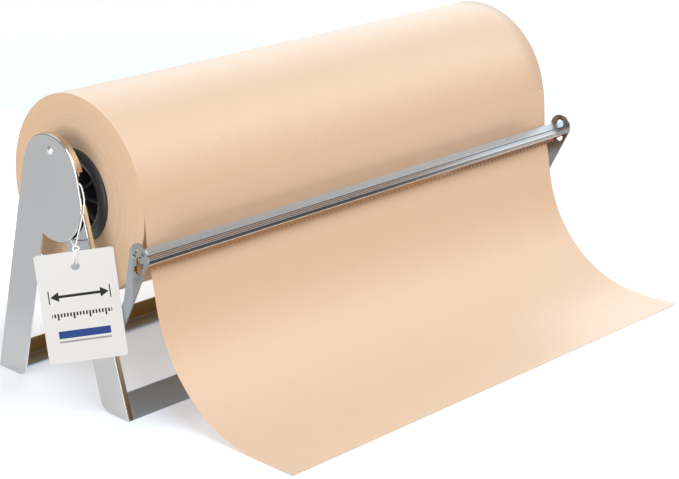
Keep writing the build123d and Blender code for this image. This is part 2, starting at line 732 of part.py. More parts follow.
nodes = {
    "left_rear_leg": rear_leg,
    "right_rear_leg": right_of(rear_leg),
    "left_front_leg": front_leg,
    "right_front_leg": right_of(front_leg),
    "apex_rivets": both(rivet),
    "apex_spacers": both(spacer),
    "front_crossbar": front_bar,
    "rear_crossbar": rear_bar,
    "pivot_studs": both(stud),
    "pivot_sleeves": both(sleeve),
    "pivot_clips": both(clip),
    "arm_stops": both(stop_pin),
    "left_arm_spring": arm_spring,
    "right_arm_spring": right_of(arm_spring),
    "left_cutter_arm": cutter_arm,
    "right_cutter_arm": right_of(cutter_arm),
    "cutter_bar": cutter_bar,
    "cutter_blade": cutter_blade,
    "paper_roll": paper_roll,
    "paper_core": paper_core,
    "left_core_plug": plug,
    "right_core_plug": right_of(plug),
    "plug_screws": both(screw),
    "axle_rod": axle,
    "paper_web": paper_web,
    "hang_tag": hang_tag,
    "tag_string": tag_string + knot + tag_loop,
}

os.makedirs("parts", exist_ok=True)
plan_shift = Pos(0, (web_front_reach - foot_span) / 2, 0)
for name, shape in nodes.items():
    placed = plan_shift * shape
    print(name, len(placed.solids()), round(placed.volume, 1), placed.is_valid)
    export_step(placed, f"parts/{name}.step")
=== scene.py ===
"""Looks of a counter-top paper roll dispenser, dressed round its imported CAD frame, in metres.

X runs along the roll, -Y is the front where the paper comes out, and Z is up from the counter. The
sheet-metal and turned pieces are the CAD nodes with a finish of their own. The roll, the drawn-out paper
and the string of the hanging tag are surfaces worked out here, and stand for their CAD solids.
"""

import logging
import math
from dataclasses import dataclass, field
from enum import Enum

import bpy
import numpy as np
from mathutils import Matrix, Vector

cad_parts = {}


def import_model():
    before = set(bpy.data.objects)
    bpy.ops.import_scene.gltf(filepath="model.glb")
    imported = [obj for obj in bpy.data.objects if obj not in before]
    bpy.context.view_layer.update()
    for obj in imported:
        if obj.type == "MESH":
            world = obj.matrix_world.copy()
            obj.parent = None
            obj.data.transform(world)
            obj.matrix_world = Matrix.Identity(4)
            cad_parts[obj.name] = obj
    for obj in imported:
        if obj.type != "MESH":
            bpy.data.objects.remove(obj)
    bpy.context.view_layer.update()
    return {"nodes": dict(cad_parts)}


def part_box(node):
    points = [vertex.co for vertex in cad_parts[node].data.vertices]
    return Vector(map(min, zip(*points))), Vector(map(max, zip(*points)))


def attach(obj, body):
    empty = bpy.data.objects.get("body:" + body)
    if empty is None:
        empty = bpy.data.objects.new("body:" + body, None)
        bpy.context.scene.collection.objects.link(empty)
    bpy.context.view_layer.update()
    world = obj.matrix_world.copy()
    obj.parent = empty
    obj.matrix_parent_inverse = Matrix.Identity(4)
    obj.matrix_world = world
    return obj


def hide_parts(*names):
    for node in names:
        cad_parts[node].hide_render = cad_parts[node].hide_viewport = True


LOG = logging.getLogger("paper_roll_dispenser")

Colour = tuple[float, float, float]
Point = tuple[float, float, float]
Span = tuple[float, float]
Socket = bpy.types.NodeSocket

RIGHTWARD: Point = (1.0, 0.0, 0.0)
REARWARD: Point = (0.0, 1.0, 0.0)
UPWARD: Point = (0.0, 0.0, 1.0)
ORIGIN: Point = (0.0, 0.0, 0.0)
EVEN: Point = (1.0, 1.0, 1.0)

# How finely a noise is broken up: soft clouds, mixed ones, and fibres.
SOFT_DETAIL = 2.0
MIXED_DETAIL = 3.0
FINE_DETAIL = 4.0


class Body(Enum):
    """The rigid bodies of the frame that new pieces ride on."""

    STAND = "stand"
    ROLL = "roll"


class Tree(Enum):
    """What a node tree is for, as the list of Blender's data that holds it."""

    FINISH = "materials"
    SKY = "worlds"


class Grain(Enum):
    """The way that the rolled grain of a sheet runs, as the stretch of its pattern in X, Y and Z."""

    ALONG_X = (0.02, 1.0, 1.0)
    ALONG_Z = (1.0, 1.0, 0.02)
    NONE = (1.0, 1.0, 1.0)


class Value:
    """A number that varies over a surface: a shader socket whose operators add Math nodes."""

    def __init__(self, recipe: "Recipe", socket: Socket) -> None:
        """Keep the socket and the recipe that it belongs to."""
        self.recipe = recipe
        self.socket = socket

    def math(self, operation: str, *terms: "Value | float") -> "Value":
        """Add one Math node of those values and return its result, another varying number."""
        made = self.recipe.node("ShaderNodeMath", {"operation": operation}, dict(enumerate(terms)))
        return self.recipe.value(made)

    def __add__(self, other: "Value | float") -> "Value":
        """Return the sum."""
        return self.math("ADD", self, other)

    __radd__ = __add__

    def __sub__(self, other: "Value | float") -> "Value":
        """Return this less the other."""
        return self.math("SUBTRACT", self, other)

    def __rsub__(self, other: float) -> "Value":
        """Return a number less this."""
        return self.math("SUBTRACT", other, self)

    def __mul__(self, other: "Value | float") -> "Value":
        """Return the product."""
        return self.math("MULTIPLY", self, other)

    __rmul__ = __mul__

    def __neg__(self) -> "Value":
        """Return this with the other sign."""
        return 0.0 - self

    def __abs__(self) -> "Value":
        """Return the size without its sign."""
        return self.math("ABSOLUTE", self)

    def fraction(self) -> "Value":
        """Return what is left past the whole number below."""
        return self.math("FRACT", self)

    def most(self, other: "Value | float") -> "Value":
        """Return the larger of the two."""
        return self.math("MAXIMUM", self, other)

    def step(self, low: float, high: float) -> "Value":
        """Ease from 0 to 1.

        Args:
            low: where the smooth step starts.
            high: where it ends, less than low for a step down.

        Returns:
            Three times the square less twice the cube of the share of the way.
        """
        inputs = {"Value": self, "From Min": low, "From Max": high}
        made = self.recipe.node("ShaderNodeMapRange", {"interpolation_type": "SMOOTHSTEP"}, inputs)
        return self.recipe.value(made)


class Recipe:
    """The node tree of one finish, or of the sky."""

    # A Mix node holds the sockets of all its kinds, and these are the ones for colours.
    MIX_INPUTS = (6, 7)
    MIX_OUTPUT = 2

    def __init__(self, name: str, kind: Tree = Tree.FINISH) -> None:
        """Start an empty tree.

        Args:
            name: the name of the finish or of the sky.
            kind: which of the two it is.
        """
        self.block = getattr(bpy.data, kind.value).new(name)
        self.block.use_nodes = True
        self.tree = self.block.node_tree
        self.tree.nodes.clear()

    def node(self, kind: str, settings: dict | None = None, inputs: dict | None = None) -> bpy.types.Node:
        """Add any node.

        Args:
            kind: the node's type.
            settings: its own settings, which are set first.
            inputs: values, varying numbers or sockets, by the input's name or number.

        Returns:
            The new node.
        """
        made = self.tree.nodes.new(kind)
        for key, setting in (settings or {}).items():
            setattr(made, key, setting)
        for key, given in (inputs or {}).items():
            source = given.socket if isinstance(given, Value) else given
            if isinstance(source, Socket):
                self.tree.links.new(source, made.inputs[key])
            else:
                made.inputs[key].default_value = source
        return made

    def value(self, node: bpy.types.Node, output: str | int = 0) -> Value:
        """Return one output of a node as a varying number."""
        return Value(self, node.outputs[output])

    def vector(self, operation: str, *terms: Socket | Point) -> bpy.types.Node:
        """Add one Vector Math node of those vectors or sockets."""
        return self.node("ShaderNodeVectorMath", {"operation": operation}, dict(enumerate(terms)))

    def place(self, stretch: Point = EVEN) -> Socket:
        """Return the place on the piece, in metres of the shared frame, stretched along each axis."""
        where = self.node("ShaderNodeTexCoord").outputs["Object"]
        return self.node("ShaderNodeMapping", None, {"Vector": where, "Scale": stretch}).outputs["Vector"]

    def along(self, direction: Point, origin: Point = ORIGIN) -> Value:
        """Return the distance from an origin along a direction, in metres."""
        away = self.vector("SUBTRACT", self.place(), origin).outputs["Vector"]
        return self.value(self.vector("DOT_PRODUCT", away, direction), "Value")

    def noise(self, where: Socket, scale: float, detail: float = SOFT_DETAIL) -> Value:
        """Return a soft noise from 0 to 1 with that many cells in a metre."""
        inputs = {"Vector": where, "Scale": scale, "Detail": detail}
        return self.value(self.node("ShaderNodeTexNoise", None, inputs))

    def line_noise(self, where: Value, scale: float, detail: float = SOFT_DETAIL) -> Value:
        """Return a noise that varies along one distance alone."""
        inputs = {"W": where, "Scale": scale, "Detail": detail}
        return self.value(self.node("ShaderNodeTexNoise", {"noise_dimensions": "1D"}, inputs))

    def mix(self, factor: Value, low: Socket | Colour, high: Socket | Colour) -> Socket:
        """Blend two colours.

        Args:
            factor: the share of the second.
            low: the first, a colour or a socket.
            high: the second, a colour or a socket.

        Returns:
            The blend.
        """
        colours = [(*c, 1.0) if isinstance(c, tuple) else c for c in (low, high)]
        inputs = {0: factor, **dict(zip(self.MIX_INPUTS, colours))}
        return self.node("ShaderNodeMix", {"data_type": "RGBA"}, inputs).outputs[self.MIX_OUTPUT]

    def bump(self, height: Value, depth: float, strength: float = 1.0) -> Socket:
        """Return a normal bent by a height from 0 to 1 that is that deep, in metres."""
        inputs = {"Height": height, "Distance": depth, "Strength": strength}
        return self.node("ShaderNodeBump", None, inputs).outputs["Normal"]

    def surface(self, inputs: dict) -> bpy.types.Material:
        """Finish the tree with one shader.

        Args:
            inputs: values or sockets of the shader, by name.

        Returns:
            The material.
        """
        shader = self.node("ShaderNodeBsdfPrincipled", None, inputs)
        self.node("ShaderNodeOutputMaterial", None, {"Surface": shader.outputs["BSDF"]})
        return self.block

    def sky(self, colour: Socket, strength: Value) -> bpy.types.World:
        """Finish the tree with a sky.

        Args:
            colour: its colour.
            strength: how bright it is.

        Returns:
            The world.
        """
        light = self.node("ShaderNodeBackground", None, {"Color": colour, "Strength": strength})
        self.node("ShaderNodeOutputWorld", None, {"Surface": light.outputs["Background"]})
        return self.block


@dataclass(frozen=True)
class SheetSteel:
    """Rolled sheet steel: a fine grain one way, faint smears, and a tone that hardly varies."""

    name: str
    tone: Colour
    roughness: float
    grain: Grain
    grain_cells: float = 1800.0
    grain_depth: float = 0.000004
    smear_cells: float = 14.0
    smear_share: float = 0.6
    roughness_spread: float = 0.10
    tone_spread: float = 0.06

    def material(self) -> bpy.types.Material:
        """Build the finish: grain bends the normal and the gloss, smears vary the gloss and the tone.

        Returns:
            The material.
        """
        recipe = Recipe(self.name)
        grain = recipe.noise(recipe.place(self.grain.value), self.grain_cells, MIXED_DETAIL)
        smear = recipe.noise(recipe.place(), self.smear_cells, FINE_DETAIL)
        mean = 0.5 * grain + 0.5 * smear
        gloss = self.roughness + self.roughness_spread * (mean - 0.5)
        dull = tuple(c * (1 - self.tone_spread) for c in self.tone)
        blend = self.smear_share * smear + (1 - self.smear_share) * grain
        tone, gloss = self.worked(recipe, recipe.mix(blend, dull, self.tone), gloss)
        return recipe.surface({
            "Base Color": tone,
            "Metallic": 1.0,
            "Roughness": gloss,
            "Normal": recipe.bump(grain, self.grain_depth),
        })

    def worked(self, recipe: Recipe, tone: Socket, gloss: Value) -> tuple[Socket, Value]:
        """Return the tone and the gloss as they are, because a flat sheet has no folds or feet."""
        return tone, gloss


@dataclass(frozen=True)
class FoldedSteel(SheetSteel):
    """Sheet steel of a leg: painted highlights on its edges, painted reflections of the paper on its folds,
    and a foot that a painted reflection lightens.
    """

    face_x: float = 0.0
    # Painted reflection: the tone that the face takes towards the foot, over the foot heights.
    foot_reflection: Colour = (0.47, 0.47, 0.47)
    foot_heights: Span = (0.05, 0.19)
    # Painted reflections of the paper on the folds, dark brown near the counter.
    fold_reflection: Colour = (0.58, 0.40, 0.24)
    fold_foot_reflection: Colour = (0.20, 0.135, 0.08)
    fold_foot_high: float = 0.10
    fold_roughness: float = 0.40
    fold_depths: Span = (0.0016, 0.0024)
    # Painted highlight along the sheet's edge, just behind the outer face.
    edge_highlight: Colour = (1.0, 1.0, 1.0)
    edge_rise: Span = (0.0001, 0.0004)
    edge_fall: Span = (0.0010, 0.0014)

    def worked(self, recipe: Recipe, tone: Socket, gloss: Value) -> tuple[Socket, Value]:
        """Paint a reflection that changes the tone towards the foot, a highlight on the sheet's edge, and
        reflections of the paper on the folds.

        Args:
            recipe: the finish's node tree.
            tone: the colour of the flat sheet.
            gloss: its roughness.

        Returns:
            The colour and the roughness: smooth steps of the height above the counter, and of the depth
            behind the leg's outer face.
        """
        height = recipe.along(UPWARD)
        depth = self.face_x - abs(recipe.along(RIGHTWARD))
        # Masks of the painted edge highlight and of the painted fold reflections.
        edge = depth.step(*self.edge_rise) * (1.0 - depth.step(*self.edge_fall))
        fold = depth.step(*self.fold_depths)
        # Painted reflection towards the foot, then the painted edge highlight and the painted fold
        # reflections.
        tone = recipe.mix(height.step(*self.foot_heights), self.foot_reflection, tone)
        painted_fold = recipe.mix(height.step(0.0, self.fold_foot_high), self.fold_foot_reflection, self.fold_reflection)
        tone = recipe.mix(fold, recipe.mix(edge, tone, self.edge_highlight), painted_fold)
        return tone, gloss + (self.fold_roughness - self.roughness) * fold


@dataclass(frozen=True)
class RailSteel(SheetSteel):
    """Sheet steel of a crossbar: its outer face, its inner wall and its flange each have a tone, and where
    these differ they are painted reflections.
    """

    foot_y: float = 0.0
    outward: Point = REARWARD
    # Tones of the inner wall and the flange, which are painted reflections where they differ from the outer
    # face.
    wall_tone: Colour = (0.45, 0.45, 0.45)
    flange_tone: Colour = (0.45, 0.45, 0.45)
    inner_depths: Span = (0.0004, 0.0010)
    wall_heights: Span = (0.0016, 0.0024)

    def worked(self, recipe: Recipe, tone: Socket, gloss: Value) -> tuple[Socket, Value]:
        """Paint the reflections of the faces on the inner side, by changing their tone.

        Args:
            recipe: the finish's node tree.
            tone: the colour of the flat sheet, which the outer face keeps.
            gloss: its roughness.

        Returns:
            The colour and the roughness: smooth steps of the depth behind the leaning outer face, and of
            the height above the counter.
        """
        depth = -recipe.along(self.outward, (0.0, self.foot_y, 0.0))
        wall = recipe.along(UPWARD).step(*self.wall_heights)
        inner_tone = recipe.mix(wall, self.flange_tone, self.wall_tone)
        return recipe.mix(depth.step(*self.inner_depths), tone, inner_tone), gloss


@dataclass(frozen=True)
class RibbedSteel(SheetSteel):
    """Sheet steel of the cutter's bar: ribs along its groove, painted in stripes whose tones are painted
    reflections, with painted shade in the dark gaps and a painted highlight on the lower edge.
    """

    foot_z: float = 0.0
    rib_top: float = 0.0104
    rib_pitch: float = 0.0023
    edge_high: float = 0.0009
    edge_shares: Span = (0.7, 1.2)
    gap_shares: Span = (0.36, 0.52)
    fold_pitches: Span = (-0.1, 0.1)
    faded_pitches: Span = (0.6, 0.9)
    bright_pitches: Span = (1.8, 2.8)
    lip_pitches: Span = (2.6, 3.2)
    # Painted reflection: where along the bar the ribs brighten and the gaps fade, and by how much.
    bright_end_span: Span = (-0.05, 0.30)
    bright_end_share: float = 0.85
    # Painted reflections on the ribs, dark towards the lip and light at the right end; painted shade in the
    # gaps; a painted highlight on the lower edge.
    rib_tone: Colour = (0.44, 0.45, 0.48)
    dark_lip_reflection: Colour = (0.17, 0.18, 0.20)
    bright_end_reflection: Colour = (0.50, 0.51, 0.53)
    bright_lip_reflection: Colour = (0.92, 0.93, 0.95)
    gap_shade: Colour = (0.08, 0.075, 0.08)
    edge_highlight: Colour = (0.85, 0.85, 0.84)

    def worked(self, recipe: Recipe, tone: Socket, gloss: Value) -> tuple[Socket, Value]:
        """Lay the ribs under the bar's fold, with their painted reflections, shade and highlight.

        Args:
            recipe: the finish's node tree.
            tone: the colour of the flat sheet.
            gloss: its roughness.

        Returns:
            The colour and the roughness: the depth under the fold, in rib pitches, sets painted shade in a
                gap or a rib, and a painted reflection darkens the ribs towards the lip.
            Towards the right end the gaps fade, all but the first, and a painted reflection brightens the
            ribs, most of all the low ones.
        """
        height = recipe.along(UPWARD, (0.0, 0.0, self.foot_z))
        # Painted reflection that brightens the ribs towards the right end.
        bright_end = recipe.along(RIGHTWARD).step(*self.bright_end_span)
        pitches = (1 / self.rib_pitch) * (self.rib_top - height)
        faded = self.bright_end_share * bright_end * pitches.step(*self.faded_pitches)
        gap = (1 - pitches.fraction().step(*self.gap_shares)) * (1 - faded)
        bright = recipe.mix(pitches.step(*self.bright_pitches), self.bright_end_reflection, self.bright_lip_reflection)
        dull = recipe.mix(pitches.step(*self.lip_pitches), self.rib_tone, self.dark_lip_reflection)
        ribs = recipe.mix(gap, recipe.mix(bright_end, dull, bright), self.gap_shade)
        above_edge = height.step(*(share * self.edge_high for share in self.edge_shares))
        ribs = recipe.mix(above_edge, self.edge_highlight, ribs)
        return recipe.mix(pitches.step(*self.fold_pitches), tone, ribs), gloss


@dataclass(frozen=True)
class BrownBladeSteel(SheetSteel):
    """Sheet steel of the blade, whose brown is a painted reflection of the paper, darker towards its right
    end.
    """

    # Painted reflection of the paper: the darker brown towards the right end.
    brown: Colour = (0.18, 0.075, 0.03)
    brown_span: Span = (0.08, 0.16)

    def worked(self, recipe: Recipe, tone: Socket, gloss: Value) -> tuple[Socket, Value]:
        """Change the tone by a smooth step along the blade: the painted reflection darkens towards the right
        end.
        """
        return recipe.mix(recipe.along(RIGHTWARD).step(*self.brown_span), tone, self.brown), gloss


@dataclass(frozen=True)
class KraftPaper:
    """Smooth brown wrapping paper: fine fibres, scattered flecks and faint bands across the web."""

    name: str
    light: Colour = (0.75, 0.51, 0.33)
    dark: Colour = (0.69, 0.455, 0.285)
    fleck: Colour = (0.52, 0.30, 0.16)
    roughness: float = 0.45
    roughness_spread: float = 0.12
    gloss: float = 0.8
    sheen: float = 0.40
    sheen_roughness: float = 0.45
    fibre_cells: float = 1300.0
    fibre_stretch: Point = (0.35, 1.0, 1.0)
    fibre_share: float = 0.45
    fibre_depth: float = 0.00002
    fibre_relief: float = 0.5
    band_cells: float = 26.0
    band_share: float = 0.25
    cloud_share: float = 0.3
    fleck_cells: float = 420.0
    fleck_stretch: Point = (0.5, 1.0, 1.0)
    fleck_levels: Span = (0.68, 0.78)
    fleck_share: float = 0.4

    def material(self) -> bpy.types.Material:
        """Build the finish: bands, clouds and fibres mix two browns, rare flecks darken it.

        Returns:
            The material, whose fibres also bend the normal and vary the gloss.
        """
        recipe = Recipe(self.name)
        fibre = recipe.noise(recipe.place(self.fibre_stretch), self.fibre_cells, FINE_DETAIL)
        cloud = recipe.noise(recipe.place(), self.band_cells, MIXED_DETAIL)
        band = recipe.line_noise(recipe.along(RIGHTWARD), self.band_cells, MIXED_DETAIL)
        fleck = recipe.noise(recipe.place(self.fleck_stretch), self.fleck_cells).step(*self.fleck_levels)
        blend = self.fibre_share * fibre + self.cloud_share * cloud + self.band_share * band
        body = recipe.mix(blend, self.dark, self.light)
        return recipe.surface({
            "Base Color": recipe.mix(self.fleck_share * fleck, body, self.fleck),
            "Roughness": self.roughness + self.roughness_spread * (fibre - 0.5),
            "Specular IOR Level": self.gloss,
            "Sheen Weight": self.sheen,
            "Sheen Roughness": self.sheen_roughness,
            "Normal": recipe.bump(fibre, self.fibre_depth, self.fibre_relief),
        })


@dataclass(frozen=True)
class WoundEdges:
    """The end of a wound roll, where the edges of the layers show as fine rings."""

    name: str
    centre: Point
    light: Colour = (0.775, 0.575, 0.40)
    dark: Colour = (0.715, 0.52, 0.35)
    tone_levels: Span = (0.25, 0.75)
    roughness: float = 0.85
    gloss: float = 0.2
    ring_cells: float = 2400.0
    ring_share: float = 0.55
    ring_depth: float = 0.00006
    ring_relief: float = 0.7
    wind_cells: float = 220.0

    def material(self) -> bpy.types.Material:
        """Build the finish: two noises of the distance from the axis make rings in tone and relief.

        Returns:
            The material.
        """
        recipe = Recipe(self.name)
        away = recipe.vector("SUBTRACT", recipe.place(), self.centre).outputs["Vector"]
        flat = recipe.vector("MULTIPLY", away, (0.0, 1.0, 1.0)).outputs["Vector"]
        radius = recipe.value(recipe.vector("LENGTH", flat), "Value")
        ring = recipe.line_noise(radius, self.ring_cells)
        wind = recipe.line_noise(radius, self.wind_cells, MIXED_DETAIL)
        tone = self.ring_share * ring + (1 - self.ring_share) * wind
        return recipe.surface({
            "Base Color": recipe.mix(tone.step(*self.tone_levels), self.dark, self.light),
            "Roughness": self.roughness,
            "Specular IOR Level": self.gloss,
            "Normal": recipe.bump(ring, self.ring_depth, self.ring_relief),
        })


@dataclass(frozen=True)
class MouldedPlastic:
    """Black moulded plastic with a fine even texture and a little dust."""

    name: str
    tone: Colour = (0.045, 0.046, 0.047)
    roughness: float = 0.33
    roughness_spread: float = 0.14
    texture_cells: float = 2600.0
    texture_depth: float = 0.00002
    texture_relief: float = 0.5
    dust: Colour = (0.075, 0.076, 0.077)
    dust_cells: float = 60.0
    dust_levels: Span = (0.45, 0.8)
    dust_share: float = 0.5

    def material(self) -> bpy.types.Material:
        """Build the finish: fine texture bends the normal, and a soft cloud carries the dust.

        Returns:
            The material.
        """
        recipe = Recipe(self.name)
        texture = recipe.noise(recipe.place(), self.texture_cells)
        cloud = recipe.noise(recipe.place(), self.dust_cells, FINE_DETAIL)
        dusty = self.dust_share * cloud.step(*self.dust_levels)
        return recipe.surface({
            "Base Color": recipe.mix(dusty, self.tone, self.dust),
            "Roughness": self.roughness + self.roughness_spread * (cloud - 0.5),
            "Normal": recipe.bump(texture, self.texture_depth, self.texture_relief),
        })


@dataclass(frozen=True)
class GreyBoard:
    """Wound board of the roll's core, brown with long fibres."""

    name: str
    light: Colour = (0.40, 0.30, 0.20)
    dark: Colour = (0.27, 0.19, 0.12)
    roughness: float = 0.9
    fibre_cells: float = 900.0
    fibre_stretch: Point = (0.3, 1.0, 1.0)
    fibre_depth: float = 0.00005
    fibre_relief: float = 0.6

    def material(self) -> bpy.types.Material:
        """Build the finish: long fibres mix two browns and bend the normal.

        Returns:
            The material.
        """
        recipe = Recipe(self.name)
        fibre = recipe.noise(recipe.place(self.fibre_stretch), self.fibre_cells, FINE_DETAIL)
        return recipe.surface({
            "Base Color": recipe.mix(fibre, self.dark, self.light),
            "Roughness": self.roughness,
            "Normal": recipe.bump(fibre, self.fibre_depth, self.fibre_relief),
        })


@dataclass(frozen=True)
class Mark:
    """A rectangle of print, in shares of the card's width and height from its middle."""

    x: float
    y: float
    wide: float
    high: float


@dataclass(frozen=True)
class Ticks:
    """Even ticks of a scale: how many a card's width holds, with half a tick and its edge in pitches."""

    count: int
    half_share: float
    soft_share: float


@dataclass(frozen=True)
class PrintedCard:
    """White card of the tag, with a generic width mark: an arrow both ways, a scale and two plain bands."""

    name: str
    centre: Point
    across: Point
    up: Point
    front: Point
    width: float
    height: float
    card: Colour = (0.765, 0.79, 0.81)
    card_spread: float = 0.03
    ink: Colour = (0.012, 0.012, 0.012)
    blue: Colour = (0.02, 0.06, 0.24)
    grey: Colour = (0.33, 0.33, 0.34)
    soft: float = 0.00012
    print_depth: float = 0.0002
    shaft: Mark = Mark(0.0, 0.11, 0.6, 0.026)
    tip_share: float = 0.37
    head_share: float = 0.11
    head_slope: float = 0.62
    left_stop: Mark = Mark(-0.385, 0.11, 0.016, 0.12)
    right_stop: Mark = Mark(0.385, 0.11, 0.016, 0.12)
    short_row: Mark = Mark(0.0, -0.06, 0.76, 0.035)
    short_ticks: Ticks = Ticks(25, 0.30, 0.04)
    tall_row: Mark = Mark(0.0, -0.072, 0.76, 0.06)
    tall_ticks: Ticks = Ticks(5, 0.06, 0.008)
    band: Mark = Mark(0.0, -0.24, 0.66, 0.07)
    rule: Mark = Mark(0.0, -0.305, 0.66, 0.018)
    roughness: float = 0.55
    roughness_spread: float = 0.1
    gloss: float = 0.3
    fibre_cells: float = 2200.0
    fibre_depth: float = 0.00001
    fibre_relief: float = 0.4

    def box(self, mark: Mark, x: Value, y: Value) -> Value:
        """Fill a rectangle.

        Args:
            mark: the rectangle.
            x: the place across the card, in metres.
            y: the place up the card, in metres.

        Returns:
            1 inside: the product of soft steps of how far the place is inside each pair of sides.
        """
        inside_x = mark.wide * self.width / 2 - abs(x - mark.x * self.width)
        inside_y = mark.high * self.height / 2 - abs(y - mark.y * self.height)
        return inside_x.step(0.0, self.soft) * inside_y.step(0.0, self.soft)

    def head(self, way: float, x: Value, y: Value) -> Value:
        """Fill one arrow head, at the height of the arrow's shaft.

        Args:
            way: 1 for the head that points right, -1 for the one that points left.
            x: the place across the card, in metres.
            y: the place up the card, in metres.

        Returns:
            1 inside: soft steps of the distance inside its two slopes and before its back.
        """
        back = way * (way * self.tip_share * self.width - x)
        slope = self.head_slope * back - abs(y - self.shaft.y * self.height)
        return slope.step(0.0, self.soft) * (self.head_share * self.width - back).step(0.0, self.soft)

    def row(self, ticks: Ticks, x: Value) -> Value:
        """Return 1 on each tick: a soft step of the distance from the middle of its pitch."""
        middle = abs((x * (ticks.count / self.width)).fraction() - 0.5)
        return (ticks.half_share - middle).step(0.0, ticks.soft_share)

    def material(self) -> bpy.types.Material:
        """Build the finish: each mark is a mask on the front of the card, and mixes its ink into the white.

        Returns:
            The material.
        """
        recipe = Recipe(self.name)
        x = recipe.along(self.across, self.centre)
        y = recipe.along(self.up, self.centre)
        facing = recipe.along(self.front, self.centre).step(0.0, self.print_depth)
        arrow = self.box(self.shaft, x, y).most(self.head(-1.0, x, y)).most(self.head(1.0, x, y))
        stops = self.box(self.left_stop, x, y).most(self.box(self.right_stop, x, y))
        short = self.row(self.short_ticks, x) * self.box(self.short_row, x, y)
        tall = self.row(self.tall_ticks, x) * self.box(self.tall_row, x, y)
        black = arrow.most(stops).most(short.most(tall)) * facing
        fibre = recipe.noise(recipe.place(), self.fibre_cells, MIXED_DETAIL)
        shade = tuple(c * (1 - self.card_spread) for c in self.card)
        printed = recipe.mix(black, recipe.mix(fibre, shade, self.card), self.ink)
        printed = recipe.mix(self.box(self.band, x, y) * facing, printed, self.blue)
        return recipe.surface({
            "Base Color": recipe.mix(self.box(self.rule, x, y) * facing, printed, self.grey),
            "Roughness": self.roughness + self.roughness_spread * fibre,
            "Specular IOR Level": self.gloss,
            "Normal": recipe.bump(fibre, self.fibre_depth, self.fibre_relief),
        })


@dataclass(frozen=True)
class CottonTwine:
    """White laid string: pale crests, painted shade in the grooves between the plies, and short fibres."""

    name: str
    crest: Colour = (0.94, 0.94, 0.93)
    # Painted shade in the grooves between the plies.
    groove: Colour = (0.62, 0.61, 0.59)
    attribute: str = "ply"
    ply_share: float = 0.85
    crest_levels: Span = (0.0, 0.6)
    roughness: float = 0.9
    fibre_cells: float = 4200.0
    fibre_share: float = 0.3
    fibre_depth: float = 0.00008
    fibre_relief: float = 0.6

    def material(self) -> bpy.types.Material:
        """Build the finish: the piece's own ply attribute mixes the painted shade of the groove and the
        crest, with fibres in both.

        Returns:
            The material.
        """
        recipe = Recipe(self.name)
        ply = recipe.value(recipe.node("ShaderNodeAttribute", {"attribute_name": self.attribute}), "Fac")
        fibre = recipe.noise(recipe.place(), self.fibre_cells, MIXED_DETAIL)
        blend = self.ply_share * ply + self.fibre_share * (fibre - 0.5)
        return recipe.surface({
            "Base Color": recipe.mix(blend.step(*self.crest_levels), self.groove, self.crest),
            "Roughness": self.roughness,
            "Normal": recipe.bump(fibre, self.fibre_depth, self.fibre_relief),
        })


@dataclass
class Surface:
    """Points and faces of one closed surface.

    quads holds four point numbers a row, caps holds rings of point numbers, slots one material number a
    quad, and shade one number a point for the attribute that a finish reads.
    """

    points: np.ndarray
    quads: np.ndarray
    caps: list[np.ndarray] = field(default_factory=list)
    slots: np.ndarray | None = None
    shade: np.ndarray | None = None

    def turned_out(self) -> "Surface":
        """Turn the faces outwards, so that the sum of corner volumes about the origin is positive.

        Returns:
            The same surface.
        """
        a, b, c, d = (self.points[self.quads[:, k]] for k in range(4))
        volume = (np.cross(a, b) * c).sum() + (np.cross(a, c) * d).sum()
        for ring in self.caps:
            corners = self.points[ring]
            volume += (np.cross(corners[0], corners[1:-1]) * corners[2:]).sum()
        if volume < 0:
            self.quads = self.quads[:, ::-1]
            self.caps = [ring[::-1] for ring in self.caps]
        return self

    def piece(
        self, name: str, materials: list[bpy.types.Material], sharp_degrees: float = 180.0
    ) -> bpy.types.Object:
        """Make the object.

        Args:
            name: the piece's name.
            materials: its finishes, in the order of slots.
            sharp_degrees: edges that turn by more than this stay crisp, and at 180 none does.

        Returns:
            The object, at the origin, with its place in its mesh.
        """
        corners = np.concatenate([self.quads.ravel(), *self.caps]).astype(np.int32)
        sizes = np.array([4] * len(self.quads) + [len(ring) for ring in self.caps])
        mesh = bpy.data.meshes.new(name)
        mesh.vertices.add(len(self.points))
        mesh.vertices.foreach_set("co", self.points.astype(np.float32).ravel())
        mesh.loops.add(len(corners))
        mesh.loops.foreach_set("vertex_index", corners)
        mesh.polygons.add(len(sizes))
        mesh.polygons.foreach_set("loop_start", (np.cumsum(sizes) - sizes).astype(np.int32))
        if self.slots is not None:
            mesh.polygons.foreach_set("material_index", self.slots.astype(np.int32))
        if self.shade is not None:
            shade = mesh.attributes.new(CottonTwine.attribute, "FLOAT", "POINT")
            shade.data.foreach_set("value", self.shade.astype(np.float32))
        mesh.update(calc_edges=True)
        mesh.polygons.foreach_set("use_smooth", np.ones(len(sizes), bool))
        mesh.set_sharp_from_angle(angle=math.radians(sharp_degrees))
        for material in materials:
            mesh.materials.append(material)
        made = bpy.data.objects.new(name, mesh)
        bpy.context.scene.collection.objects.link(made)
        return made


def lattice(rows: int, columns: int, wrap_rows: bool, wrap_columns: bool) -> np.ndarray:
    """Return the quads of a grid of points.

    Args:
        rows: how many rows of points there are.
        columns: how many points a row has.
        wrap_rows: whether the last row joins the first.
        wrap_columns: whether the last point of a row joins its first.

    Returns:
        Four point numbers for each quad, where point (r, c) has number r times columns plus c.
    """
    row = np.arange(rows if wrap_rows else rows - 1)[:, None]
    column = np.arange(columns if wrap_columns else columns - 1)[None, :]
    below = (row + 1) % rows
    beside = (column + 1) % columns
    here, next_row = row * columns, below * columns
    corners = [here + column, here + beside, next_row + beside, next_row + column]
    return np.stack(np.broadcast_arrays(*corners), axis=-1).reshape(-1, 4)


